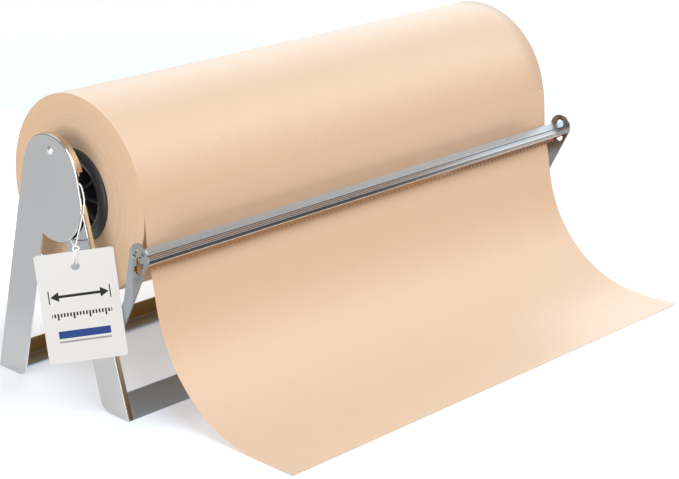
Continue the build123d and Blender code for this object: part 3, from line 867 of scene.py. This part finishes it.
def soft_noise(count: int, knots: int, seed: int) -> np.ndarray:
    """Return count numbers from -1 to 1 that run smoothly through seeded random knots.

    Args:
        count: how many numbers to return.
        knots: how many random numbers they pass through.
        seed: the seed of the draws.

    Returns:
        Cosine steps from knot to knot, as an array.
    """
    draws = np.random.default_rng(seed).uniform(-1.0, 1.0, knots)
    place = np.linspace(0.0, knots - 1, count)
    near = np.minimum(place.astype(int), knots - 2)
    share = (1 - np.cos(np.pi * (place - near))) / 2
    return draws[near] * (1 - share) + draws[near + 1] * share


def unit(vectors: np.ndarray) -> np.ndarray:
    """Return vectors of length 1 along the last axis."""
    return vectors / np.linalg.norm(vectors, axis=-1, keepdims=True)


def paint(node: bpy.types.Object, material: bpy.types.Material) -> None:
    """Give a CAD node one finish all over.

    Args:
        node: the node.
        material: the finish.
    """
    node.data.materials.clear()
    node.data.materials.append(material)
    LOG.info("dressed %s in %s", node.name, material.name)


@dataclass
class PaperRoll:
    """The wound roll: a tube whose ends show the uneven edges of its layers."""

    paper: bpy.types.Material
    edges: bpy.types.Material
    around: int = 288
    layers: int = 110
    lengthwise: int = 24
    edge_round: float = 0.0004
    wind_depth: float = 0.0003
    wind_knots: int = 9
    layer_depth: float = 0.00005
    end_seeds: tuple[int, int] = (3, 8)
    sharp_degrees: float = 50.0

    def build(self) -> bpy.types.Object:
        """Turn the tube's section about the roll axis.

        The section runs out along one end, along the cylinder and back in along the other end. Each end is
        set back by a smooth wander of the winding plus a small random step for each band of layers.

        Returns:
            The roll, which stands for the CAD roll.
        """
        low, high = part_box("paper_roll")
        core_low, core_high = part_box("paper_core")
        bore = (core_high.z - core_low.z) / 2
        radius = (high.z - low.z) / 2
        centre_y, centre_z = (low.y + high.y) / 2, (low.z + high.z) / 2
        radii = np.linspace(bore, radius - self.edge_round, self.layers)
        ends = [self.end_depth(seed) for seed in self.end_seeds]
        along = np.linspace(low.x + self.edge_round, high.x - self.edge_round, self.lengthwise)
        section_x = np.concatenate([low.x + ends[0], along, (high.x - ends[1])[::-1]])
        section_r = np.concatenate([radii, np.full(self.lengthwise, radius), radii[::-1]])
        angle = np.linspace(0.0, 2 * np.pi, self.around, endpoint=False)
        points = np.stack(
            np.broadcast_arrays(
                section_x[:, None],
                centre_y + section_r[:, None] * np.cos(angle),
                centre_z + section_r[:, None] * np.sin(angle),
            ),
            axis=-1,
        )
        rows = len(section_x)
        quads = lattice(rows, self.around, True, True)
        row = np.repeat(np.arange(rows), self.around)
        outside = (row >= self.layers - 1) & (row < self.layers + self.lengthwise)
        surface = Surface(points.reshape(-1, 3), quads, slots=np.where(outside, 0, 1)).turned_out()
        made = surface.piece("kraft_paper_roll", [self.paper, self.edges], self.sharp_degrees)
        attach(made, Body.ROLL.value)
        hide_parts("paper_roll")
        return made

    def end_depth(self, seed: int) -> np.ndarray:
        """Work out how far each band of layers is set back from the end of the roll.

        Args:
            seed: the seed of that end's draws.

        Returns:
            One depth for each band: the smooth wander plus the random step.
        """
        wander = (1 + soft_noise(self.layers, self.wind_knots, seed)) / 2
        step = np.random.default_rng(seed + 1).uniform(0.0, 1.0, self.layers)
        return self.wind_depth * wander + self.layer_depth * step


@dataclass
class DrawnPaper:
    """The paper drawn off the roll: down behind the cutter, round one bend and out along the counter."""

    paper: bpy.types.Material
    lean_degrees: float = 8.0
    bend_radius: float = 0.1384
    ease_length: float = 0.045
    hug_length: float = 0.034
    leave_length: float = 0.058
    held_share: float = 0.80
    side_hug: float = 0.3
    thickness: float = 0.00018
    roll_gap: float = 0.0002
    tip_lift: float = 0.0012
    tip_middle_share: float = 0.35
    tip_power: int = 4
    lift_length: float = 0.05
    drop_steps: int = 70
    bend_steps: int = 220
    run_steps: int = 60
    across: int = 72
    sharp_degrees: float = 40.0

    def line(self) -> tuple[np.ndarray, np.ndarray]:
        """Work out the hanging line of the sheet, from the roll to its free end, and its step to the roll.

        The heading falls from nearly straight down to level. Its rate of turn rises and falls over the ease
        length at both ends of the bend, and the line is the running sum of the headings. The straight part
        above the bend has the length that brings the rest down to the counter.

        Returns:
            The Y and Z of the points, and the Y and Z of the step from each point to where the sheet hugs.
        """
        low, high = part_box("paper_roll")
        web_low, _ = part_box("paper_web")
        radius = (high.z - low.z) / 2 + self.roll_gap + self.thickness / 2
        lean = math.radians(self.lean_degrees)
        start_y = (low.y + high.y) / 2 - radius * math.cos(lean)
        start_z = (low.z + high.z) / 2 + radius * math.sin(lean)
        turn = math.pi / 2 - lean
        bend = turn * self.bend_radius + self.ease_length
        away = np.linspace(0.0, 1.0, self.bend_steps) * bend
        rate = np.clip(np.minimum(away, bend - away) / self.ease_length, 0.0, 1.0)
        heading = np.concatenate([[0.0], np.cumsum((rate[1:] + rate[:-1]) / 2)])
        heading = turn * heading / heading[-1] - turn
        step = bend / (self.bend_steps - 1)
        between = (heading[1:] + heading[:-1]) / 2
        bend_y = -np.concatenate([[0.0], np.cumsum(np.cos(between))]) * step
        bend_z = np.concatenate([[0.0], np.cumsum(np.sin(between))]) * step
        straight = (start_z + bend_z[-1] - self.thickness) / math.cos(lean)
        drop = np.linspace(0.0, 1.0, self.drop_steps, endpoint=False) * straight
        foot_y = start_y - straight * math.sin(lean)
        foot_z = start_z - straight * math.cos(lean)
        run = np.linspace(foot_y + bend_y[-1], web_low.y, self.run_steps)[1:]
        line_y = np.concatenate([start_y - drop * math.sin(lean), foot_y + bend_y, run])
        level = np.full(len(run), foot_z + bend_z[-1])
        line_z = np.concatenate([start_z - drop * math.cos(lean), foot_z + bend_z, level])
        line = np.stack([line_y, line_z], -1)
        back = np.array([math.cos(lean), -math.sin(lean)])
        return line, self.hug(self.travel(line), radius)[:, None] * back

    def travel(self, line: np.ndarray) -> np.ndarray:
        """Return how far each point is along the line."""
        return np.concatenate([[0.0], np.cumsum(np.linalg.norm(np.diff(line, axis=0), axis=1))])

    def hug(self, travel: np.ndarray, radius: float) -> np.ndarray:
        """Work out how far the sheet stands back from its straight line, towards the roll.

        Over the hug length that is the gap between a tangent and its circle. After it, a cubic takes that
        gap and its slope to nothing over the leave length.

        Args:
            travel: how far each point is along the line.
            radius: the radius that the sheet has on the roll.

        Returns:
            One distance for each point.
        """
        flat = math.sqrt(radius**2 - self.hug_length**2)
        on_roll = radius - np.sqrt(radius**2 - np.minimum(travel, self.hug_length) ** 2)
        share = np.clip((travel - self.hug_length) / self.leave_length, 0.0, 1.0)
        height = (radius - flat) * (2 * share**3 - 3 * share**2 + 1)
        slope = self.leave_length * self.hug_length / flat * (share**3 - 2 * share**2 + share)
        return np.where(travel < self.hug_length, on_roll, height + slope)

    def build(self) -> bpy.types.Object:
        """Carry the line across the width, with a front and a back face half a thickness from it.

        The sheet hugs the roll over its held share, and by a smooth step its sides keep only a part of the
        hug. The free end is lifted off the counter by a square law that is strongest at its corners.

        Returns:
            The sheet, which stands for the CAD web.
        """
        line, hug = self.line()
        low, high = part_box("paper_web")
        x = np.linspace(low.x, high.x, self.across)
        side = np.abs(x) / high.x
        eased = np.clip((side - self.held_share) / (1 - self.held_share), 0.0, 1.0)
        held = 1 - (1 - self.side_hug) * eased**2 * (3 - 2 * eased)
        near_tip = np.clip(1 - (line[:, :1] - line[-1, 0]) / self.lift_length, 0.0, 1.0) ** 2
        y = line[:, :1] + hug[:, :1] * held
        corner = self.tip_middle_share + (1 - self.tip_middle_share) * side**self.tip_power
        z = line[:, 1:] + hug[:, 1:] * held + self.tip_lift * near_tip * corner
        middle = np.stack([np.broadcast_to(x, y.shape), y, z], -1)
        facing = unit(np.cross(np.gradient(middle, axis=0), np.gradient(middle, axis=1)))
        front, back = (middle + way * self.thickness / 2 * facing for way in (1.0, -1.0))
        points = np.concatenate([front, back[::-1]])
        rows = len(points)
        half = rows // 2
        quads = lattice(rows, self.across, True, False)
        rung = np.arange(half - 1)
        edge = np.stack([rung, rung + 1, rows - 2 - rung, rows - 1 - rung], -1) * self.across
        quads = np.concatenate([quads, edge, edge[:, ::-1] + self.across - 1])
        surface = Surface(points.reshape(-1, 3), quads).turned_out()
        made = surface.piece("drawn_paper", [self.paper], self.sharp_degrees)
        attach(made, Body.STAND.value)
        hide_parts("paper_web")
        return made


@dataclass
class TagString:
    """The string of the tag: a three-ply tube along its route, a knot and a loop through the hole."""

    twine: bpy.types.Material
    diameter: float = 0.0016
    plies: int = 3
    ply_share: float = 0.40
    lay: float = 0.0062
    ring: int = 24
    smooth: int = 40
    spline_order: int = 3
    knot_wide: float = 0.0029
    knot_high: float = 0.0024
    knot_lean: float = 36.0
    knot_steps: int = 96
    strand_shift: float = 0.0016
    strand_gather_share: float = 0.3
    loop_steps: int = 24
    loop_clear_share: float = 0.62
    hole_gap: float = 0.0002
    route: tuple[Point, ...] = (
        (-0.3632, 0.0298, 0.1810),
        (-0.3606, 0.0297, 0.1890),
        (-0.3555, 0.0304, 0.2005),
        (-0.3505, 0.0314, 0.2125),
        (-0.3460, 0.0350, 0.2220),
        (-0.3410, 0.0435, 0.2270),
        (-0.3360, 0.0525, 0.2315),
        (-0.3360, 0.0640, 0.2325),
        (-0.3360, 0.0880, 0.2240),
        (-0.3360, 0.1115, 0.2060),
        (-0.3360, 0.0990, 0.1865),
        (-0.3360, 0.0840, 0.1768),
        (-0.3362, 0.0725, 0.1702),
        (-0.3395, 0.0665, 0.1693),
        (-0.3470, 0.0555, 0.1725),
        (-0.3550, 0.0430, 0.1766),
        (-0.3624, 0.0314, 0.1800),
    )

    def centre_line(self) -> np.ndarray:
        """Draw the smooth spline that has the route as its control points.

        Returns:
            Points along it, from the first of the route to the last.
        """
        curve = bpy.data.curves.new("route", "CURVE")
        curve.dimensions = "3D"
        curve.resolution_u = self.smooth
        spline = curve.splines.new("NURBS")
        spline.points.add(len(self.route) - 1)
        spline.points.foreach_set("co", np.array([(*point, 1.0) for point in self.route]).ravel())
        spline.order_u = self.spline_order
        spline.use_endpoint_u = True
        holder = bpy.data.objects.new("route", curve)
        bpy.context.scene.collection.objects.link(holder)
        bpy.context.view_layer.update()
        mesh = bpy.data.meshes.new_from_object(holder.evaluated_get(bpy.context.evaluated_depsgraph_get()))
        flat = np.empty(len(mesh.vertices) * 3, np.float32)
        mesh.vertices.foreach_get("co", flat)
        bpy.data.objects.remove(holder)
        bpy.data.meshes.remove(mesh)
        return flat.reshape(-1, 3).astype(float)

    def tube(self, path: np.ndarray, side: np.ndarray, closed: bool) -> Surface:
        """Carry the three-ply section along a path.

        At an angle from the nearest ply, with the ply's centre a share of the radius out, the section
        reaches the cosine of that angle times the share, plus what is left of the ply's own circle. The
        plies turn once in each lay length, and on a closed path a whole number of times.

        Args:
            path: the points that it follows.
            side: a reference direction for each point, never along the path.
            closed: whether the path joins its own start.

        Returns:
            The closed surface, with its ply attribute.
        """
        gaps = np.linalg.norm(np.diff(path, axis=0), axis=1)
        travel = np.concatenate([[0.0], np.cumsum(gaps)])
        around = np.roll(path, -1, axis=0) - np.roll(path, 1, axis=0)
        ahead = unit(around if closed else np.gradient(path, axis=0))
        across = unit(side - (side * ahead).sum(-1, keepdims=True) * ahead)
        other = np.cross(ahead, across)
        lays = travel / self.lay
        if closed:
            lays = lays * round(lays[-1] + 0.5) / (lays[-1] * len(path) / (len(path) - 1))
        angle = np.linspace(0.0, 2 * np.pi, self.ring, endpoint=False)
        part = 2 * np.pi / self.plies
        off = (angle[None, :] - 2 * np.pi * lays[:, None] + part / 2) % part - part / 2
        share = self.ply_share
        reach = share * np.cos(off) + np.sqrt((1 - share) ** 2 - (share * np.sin(off)) ** 2)
        radius = self.diameter / 2 * reach[..., None]
        cosine, sine = (wave(angle)[None, :, None] for wave in (np.cos, np.sin))
        turn = cosine * across[:, None, :] + sine * other[:, None, :]
        points = (path[:, None, :] + radius * turn).reshape(-1, 3)
        quads = lattice(len(path), self.ring, closed, True)
        ends = np.arange(self.ring)
        caps = [] if closed else [ends[::-1], ends + (len(path) - 1) * self.ring]
        shade = ((reach - reach.min()) / np.ptp(reach)).ravel()
        return Surface(points, quads, caps, shade=shade).turned_out()

    def knot_centre(self, tag: "HangTag") -> np.ndarray:
        """Return the middle of the knot, which hangs under the ends of the string."""
        return np.array(self.route[0]) - self.knot_high * np.array(tag.up)

    def knot(self, tag: "HangTag") -> bpy.types.Object:
        """Tie the knot: one open turn of the string, an ellipse whose low side leans out before the card.

        Args:
            tag: the tag that hangs under the knot.

        Returns:
            The knot.
        """
        turn = np.linspace(0.0, 2 * np.pi, self.knot_steps, endpoint=False)[:, None]
        lean = math.radians(self.knot_lean)
        rise = math.cos(lean) * np.array(tag.up) - math.sin(lean) * np.array(tag.front)
        spoke = self.knot_wide * np.cos(turn) * np.array(tag.across) + self.knot_high * np.sin(turn) * rise
        return self.tube(self.knot_centre(tag) + spoke, -spoke, True).piece("tag_knot", [self.twine])

    def loop(self, tag: "HangTag", name: str, shift: float) -> bpy.types.Object:
        """Lead one strand from the knot down both faces of the tag and through its hole.

        The strand is a long ring: two straight sides, and a half circle round each end.

        Args:
            tag: the tag that hangs on the loop.
            name: the strand's name.
            shift: how far the strand is from the hole's middle, across the card.

        Returns:
            The strand.
        """
        half = tag.card / 2 + self.loop_clear_share * self.diameter
        rise = math.sqrt(tag.hole_radius**2 - shift**2) - self.hole_gap
        low = tag.point(shift, tag.hole_y + rise, tag.card / 2)
        high = self.knot_centre(tag) - self.knot_high * np.array(tag.up)
        high = high + self.strand_gather_share * shift * np.array(tag.across)
        up, out = unit(high - low), np.array(tag.front)
        bow = np.linspace(0.0, np.pi, self.loop_steps, endpoint=False)[:, None]
        climb = np.linspace(0.0, 1.0, self.loop_steps, endpoint=False)[:, None] * (high - low)
        crown = high + half * (np.cos(bow) * out + np.sin(bow) * up)
        cradle = low + half * (-np.cos(bow) * out - np.sin(bow) * up)
        path = np.concatenate([low + half * out + climb, crown, high - half * out - climb, cradle])
        side = np.broadcast_to(np.cross(up, out), path.shape)
        return self.tube(path, side, True).piece(name, [self.twine])

    def build(self, tag: "HangTag") -> list[bpy.types.Object]:
        """Make the string and what is on it.

        Args:
            tag: the tag that hangs on the string.

        Returns:
            The string, its knot and the two strands of its loop.
        """
        path = self.centre_line()
        side = np.broadcast_to(np.array(RIGHTWARD), path.shape)
        string = self.tube(path, side, False).piece("tag_twine", [self.twine])
        made = [string, self.knot(tag)]
        for hand, way in (("left", -1.0), ("right", 1.0)):
            made.append(self.loop(tag, f"tag_loop_{hand}", way * self.strand_shift))
        for piece in made:
            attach(piece, Body.STAND.value)
        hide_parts("tag_string")
        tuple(self.route[0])
        return made


@dataclass
class HangTag:
    """The card on the string, which is a CAD node: where it hangs, and its print."""

    centre: Point = (-0.3613, 0.0278, 0.1203)
    turn_degrees: float = 52.0
    tilt_degrees: float = 5.2
    width: float = 0.076
    height: float = 0.1125
    card: float = 0.0006
    hole_radius: float = 0.0042
    hole_drop: float = 0.015

    @property
    def front(self) -> Point:
        """Return the direction that the printed face looks in."""
        turn = math.radians(180 + self.turn_degrees)
        return (math.cos(turn), math.sin(turn), 0.0)

    @property
    def across(self) -> Point:
        """Return the direction of the card's width, to the right as its print is read."""
        turn, tilt = math.radians(self.turn_degrees - 90), math.radians(self.tilt_degrees)
        return (math.cos(tilt) * math.cos(turn), math.cos(tilt) * math.sin(turn), math.sin(tilt))

    @property
    def up(self) -> Point:
        """Return the direction of the card's height."""
        return tuple(np.cross(self.front, self.across))

    @property
    def hole_y(self) -> float:
        """Return how far the hole is above the card's middle."""
        return self.height / 2 - self.hole_drop

    def point(self, x: float, y: float, z: float) -> np.ndarray:
        """Return a point of the card, from the middle of its back face: across, up and to the front."""
        return np.array(self.centre) + np.array([x, y, z]) @ np.array([self.across, self.up, self.front])

    def dress(self, nodes: dict[str, bpy.types.Object]) -> None:
        """Give the CAD card its print. It casts no shadow on the roll, as in the photograph.

        Args:
            nodes: the CAD nodes by name.
        """
        directions = (self.across, self.up, self.front)
        finish = PrintedCard("tag_card", self.centre, *directions, self.width, self.height)
        card = nodes["hang_tag"]
        paint(card, finish.material())
        card.visible_shadow = False


@dataclass
class SteelWork:
    """The end frames, crossbars, cutter and small steel pieces, which are CAD nodes."""

    frame_tone: Colour = (0.465, 0.445, 0.43)
    # The front legs are the rear plates' steel: their darker tone is painted shade, their lighter foot a
    # painted reflection, and their pale folds a painted reflection of the paper.
    front_shade_tone: Colour = (0.37, 0.37, 0.37)
    front_fold_reflection: Colour = (1.0, 0.90, 0.68)
    front_foot_reflection: Colour = (0.565, 0.535, 0.51)
    # Painted reflection: the rear plates lighten towards their feet.
    rear_foot_reflection: Colour = (0.575, 0.55, 0.53)
    rear_foot_heights: Span = (0.02, 0.10)
    frame_roughness: float = 0.13
    rail_tone: Colour = (0.45, 0.45, 0.45)
    rail_roughness: float = 0.34
    # Partly painted reflection: the cool tone of the front crossbar's outer face turns the brown reflection
    # of the paper towards grey.
    front_rail: Colour = (0.365, 0.475, 0.575)
    front_outward: Point = (0.0, -0.961, 0.276)
    rear_outward: Point = (0.0, 0.966, 0.257)
    # Painted reflections of the rear crossbar: the paper's brown on its inner wall, a pale blue on its
    # flange.
    rear_wall_reflection: Colour = (0.42, 0.31, 0.13)
    rear_flange_reflection: Colour = (0.64, 0.75, 0.88)
    arm_tone: Colour = (0.36, 0.36, 0.36)
    arm_roughness: float = 0.20
    bar_tone: Colour = (0.60, 0.645, 0.685)
    bar_roughness: float = 0.26
    # Painted reflection of the paper: the brown of the blade.
    blade_reflection_tone: Colour = (0.37, 0.245, 0.145)
    blade_roughness: float = 0.13
    small_tone: Colour = (0.80, 0.80, 0.79)
    small_roughness: float = 0.18
    small_nodes: tuple[str, ...] = (
        "apex_rivets", "apex_spacers", "pivot_studs", "pivot_sleeves", "pivot_clips", "arm_stops",
        "left_arm_spring", "right_arm_spring", "plug_screws", "axle_rod",
    )

    def legs(self) -> tuple[FoldedSteel, FoldedSteel]:
        """Work out the finishes of the legs, whose outer faces are measured on the frame.

        Returns:
            The finish of the rear legs and that of the front legs.
        """
        rear_x, front_x = (-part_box(name)[0].x for name in ("left_rear_leg", "left_front_leg"))
        rear = FoldedSteel(
            "frame_plate", self.frame_tone, self.frame_roughness, Grain.ALONG_Z,
            face_x=rear_x, foot_reflection=self.rear_foot_reflection, foot_heights=self.rear_foot_heights,
        )
        front = FoldedSteel(
            "frame_front", self.front_shade_tone, self.frame_roughness, Grain.ALONG_Z,
            face_x=front_x, foot_reflection=self.front_foot_reflection, fold_reflection=self.front_fold_reflection,
        )
        return rear, front

    def rails(self) -> tuple[RailSteel, RailSteel]:
        """Work out the finishes of the crossbars, whose outer faces lean in from their feet on the frame.

        Returns:
            The finish of the front crossbar and that of the rear one.
        """
        front = RailSteel(
            "front_rail", self.front_rail, self.rail_roughness, Grain.ALONG_X,
            foot_y=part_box("front_crossbar")[0].y, outward=self.front_outward,
            wall_tone=self.rail_tone, flange_tone=self.rail_tone,
        )
        rear = RailSteel(
            "rear_rail", self.rail_tone, self.rail_roughness, Grain.ALONG_X,
            foot_y=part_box("rear_crossbar")[1].y, outward=self.rear_outward,
            wall_tone=self.rear_wall_reflection, flange_tone=self.rear_flange_reflection,
        )
        return front, rear

    def dress(self, nodes: dict[str, bpy.types.Object]) -> None:
        """Give each group of steel nodes its finish.

        Args:
            nodes: the CAD nodes by name.
        """
        rear_leg, front_leg = self.legs()
        front_rail, rear_rail = self.rails()
        arm = SheetSteel("cutter_arm", self.arm_tone, self.arm_roughness, Grain.ALONG_Z)
        bar_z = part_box("cutter_bar")[0].z
        bar = RibbedSteel("cutter_strip", self.bar_tone, self.bar_roughness, Grain.ALONG_X, foot_z=bar_z)
        blade = BrownBladeSteel("cutter_edge", self.blade_reflection_tone, self.blade_roughness, Grain.ALONG_X)
        small = SheetSteel("small_steel", self.small_tone, self.small_roughness, Grain.NONE)
        groups = [
            (rear_leg, ["left_rear_leg", "right_rear_leg"]),
            (front_leg, ["left_front_leg", "right_front_leg"]),
            (front_rail, ["front_crossbar"]),
            (rear_rail, ["rear_crossbar"]),
            (arm, ["left_cutter_arm", "right_cutter_arm"]),
            (bar, ["cutter_bar"]),
            (blade, ["cutter_blade"]),
            (small, self.small_nodes),
        ]
        for finish, names in groups:
            material = finish.material()
            for name in names:
                paint(nodes[name], material)


@dataclass
class RollCore:
    """The core of the roll and its two plugs, which are CAD nodes."""

    def dress(self, nodes: dict[str, bpy.types.Object]) -> None:
        """Give the core its board and the plugs their plastic.

        Args:
            nodes: the CAD nodes by name.
        """
        plastic = MouldedPlastic("black_plastic").material()
        paint(nodes["left_core_plug"], plastic)
        paint(nodes["right_core_plug"], plastic)
        paint(nodes["paper_core"], GreyBoard("grey_board").material())


@dataclass(frozen=True)
class SoftBox:
    """One large soft lamp of the studio."""

    name: str
    place: Point
    aim: Point
    size: Span
    power: float
    colour: Colour = (1.0, 1.0, 1.0)
    shades: bool = True

    def build(self) -> None:
        """Hang the lamp and point it at its aim."""
        lamp = bpy.data.lights.new(self.name, "AREA")
        lamp.shape = "RECTANGLE"
        lamp.size, lamp.size_y = self.size
        lamp.energy = self.power
        lamp.color = self.colour
        lamp.use_shadow = self.shades
        made = bpy.data.objects.new(self.name, lamp)
        made.location = self.place
        made.rotation_euler = (Vector(self.aim) - Vector(self.place)).to_track_quat("-Z", "Y").to_euler()
        bpy.context.scene.collection.objects.link(made)


@dataclass
class Studio:
    """A pale floor with painted light and shade near the part, soft light all round and the camera at the
    photograph's place.
    """

    floor_half: float = 14.0
    floor_drop: float = 0.0003
    floor_tone: Colour = (0.73, 0.735, 0.74)
    floor_spread: float = 0.01
    floor_cells: float = 3.0
    floor_roughness: float = 0.9
    floor_glow: float = 0.50
    near_glow: Colour = (0.59, 0.645, 0.69)
    # Painted light on the floor before the paper, and painted shade between the frames under the roll.
    front_light_glow: Colour = (0.80, 0.86, 0.91)
    under_shade_glow: Colour = (0.32, 0.37, 0.41)
    far_reach: Span = (0.9, 2.0)
    back_span: Span = (0.205, 0.26)
    front_span: Span = (0.01, 0.07)
    under_span: Span = (0.05, 0.13)
    under_sides: Span = (0.34, 0.20)
    sky_low: float = 0.36
    sky_high: float = 2.4
    patch_levels: Span = (0.86, 0.98)
    warm_levels: Span = (0.35, 0.85)
    ground_levels: Span = (-0.12, 0.0)
    bright_side: Point = (0.724, 0.545, 0.423)
    warm_side: Point = (0.45, -0.88, 0.12)
    white: Colour = (1.0, 1.0, 1.0)
    cool: Colour = (0.93, 1.05, 1.12)
    warm: Colour = (1.0, 0.83, 0.62)
    ground: Colour = (1.35, 0.90, 0.50)
    camera_place: Point = (-1.3625, -1.3009, 0.7602)
    camera_azimuth: float = 45.56
    camera_elevation: float = 19.18
    focal_pixels: float = 1839.5
    image_width: int = 679
    sensor_mm: float = 36.0
    lamps: tuple[SoftBox, ...] = (
        SoftBox("top_box", (-0.2, -1.15, 2.15), (0.0, 0.0, 0.1), (1.8, 1.4), 34.5, (0.85, 0.98, 1.12)),
        SoftBox("right_box", (1.76, -1.2, 1.65), (0.0, 0.0, 0.1), (2.2, 1.5), 21.0, (0.92, 1.0, 1.08)),
        SoftBox("left_box", (-3.1, -0.8, 0.8), (-0.2, 0.0, 0.15), (2.2, 1.6), 46.0),
        SoftBox("left_fill", (-3.1, -0.8, 0.8), (-0.2, 0.0, 0.15), (1.0, 0.8), 15.0, shades=False),
    )

    def build(self) -> None:
        """Make the floor, the sky, the lamps and the camera, with colours shown as they are."""
        scene = bpy.context.scene
        scene.view_settings.view_transform = "Standard"
        self.floor()
        scene.world = self.sky()
        for lamp in self.lamps:
            lamp.build()
        self.camera()

    def floor(self) -> None:
        """Lay the floor, a square just below the counter, which the steel mirrors but no paper is lit by."""
        half = self.floor_half
        corners = [(-half, -half), (half, -half), (half, half), (-half, half)]
        points = np.array([(x, y, -self.floor_drop) for x, y in corners])
        made = Surface(points, np.array([[0, 1, 2, 3]])).piece("floor", [self.floor_finish()])
        made.visible_diffuse = False

    def floor_finish(self) -> bpy.types.Material:
        """Build the floor's finish: a pale tone with a glow that is white far off.

        Near the part the glow is a cool grey, made paler before the paper by painted light, darkest between
        the frames under the roll by painted shade, and white behind it by painted light, by smooth steps of
        the place.

        Returns:
            The material.
        """
        recipe = Recipe("pale_floor")
        cloud = recipe.noise(recipe.place(), self.floor_cells)
        reach = recipe.value(recipe.vector("LENGTH", recipe.place()), "Value")
        rearward = recipe.along(REARWARD)
        inside = abs(recipe.along(RIGHTWARD)).step(*self.under_sides)
        # Painted light before the paper, then painted shade between the frames under the roll.
        glow = recipe.mix((-rearward).step(*self.front_span), self.near_glow, self.front_light_glow)
        glow = recipe.mix(rearward.step(*self.under_span) * inside, glow, self.under_shade_glow)
        # White far off, and painted light behind the rear crossbar.
        far = reach.step(*self.far_reach).most(rearward.step(*self.back_span) * inside)
        dim = tuple(c * (1 - self.floor_spread) for c in self.floor_tone)
        return recipe.surface({
            "Base Color": recipe.mix(cloud, dim, self.floor_tone),
            "Roughness": self.floor_roughness,
            "Emission Color": recipe.mix(far, glow, self.white),
            "Emission Strength": self.floor_glow,
        })

    def sky(self) -> bpy.types.World:
        """Make an even sky with a bright cool patch behind the part and a warm low stretch before it.

        The floor is white for the camera and in the steel, and the paper is lit from a warm ground instead.

        Returns:
            The world.
        """
        recipe = Recipe("soft_sky", Tree.SKY)
        look = recipe.node("ShaderNodeTexCoord").outputs["Generated"]
        bright, warm, up = (
            recipe.value(recipe.vector("DOT_PRODUCT", look, side), "Value")
            for side in (self.bright_side, self.warm_side, UPWARD)
        )
        patch = bright.step(*self.patch_levels)
        strength = self.sky_low + (self.sky_high - self.sky_low) * patch
        even = recipe.mix(warm.step(*self.warm_levels), self.white, self.warm)
        colour = recipe.mix(patch, even, self.cool)
        return recipe.sky(recipe.mix(up.step(*self.ground_levels), self.ground, colour), strength)

    def camera(self) -> None:
        """Place the camera, level, at the angles and focal length that fit the photograph."""
        azimuth, elevation = math.radians(self.camera_azimuth), math.radians(self.camera_elevation)
        flat = math.cos(elevation)
        ahead = Vector((math.sin(azimuth) * flat, math.cos(azimuth) * flat, -math.sin(elevation)))
        lens = bpy.data.cameras.new("photo_camera")
        lens.sensor_width = self.sensor_mm
        lens.lens = self.sensor_mm * self.focal_pixels / self.image_width
        made = bpy.data.objects.new("photo_camera", lens)
        made.location = self.camera_place
        made.rotation_euler = ahead.to_track_quat("-Z", "Y").to_euler()
        bpy.context.scene.collection.objects.link(made)
        bpy.context.scene.camera = made


def main() -> None:
    """Load the frame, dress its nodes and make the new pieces."""
    logging.basicConfig(level=logging.INFO, format="%(message)s")
    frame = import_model()
    nodes = frame["nodes"]
    low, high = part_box("paper_roll")
    kraft = KraftPaper("kraft_paper").material()
    edges = WoundEdges("wound_edges", tuple((low + high) / 2)).material()
    tag = HangTag()
    SteelWork().dress(nodes)
    RollCore().dress(nodes)
    tag.dress(nodes)
    made = [PaperRoll(kraft, edges).build(), DrawnPaper(kraft).build()]
    made += TagString(CottonTwine("white_twine").material()).build(tag)
    for piece in made:
        LOG.info("made %s: %d faces", piece.name, len(piece.data.polygons))
    Studio().build()


if __name__ == "__main__":
    main()
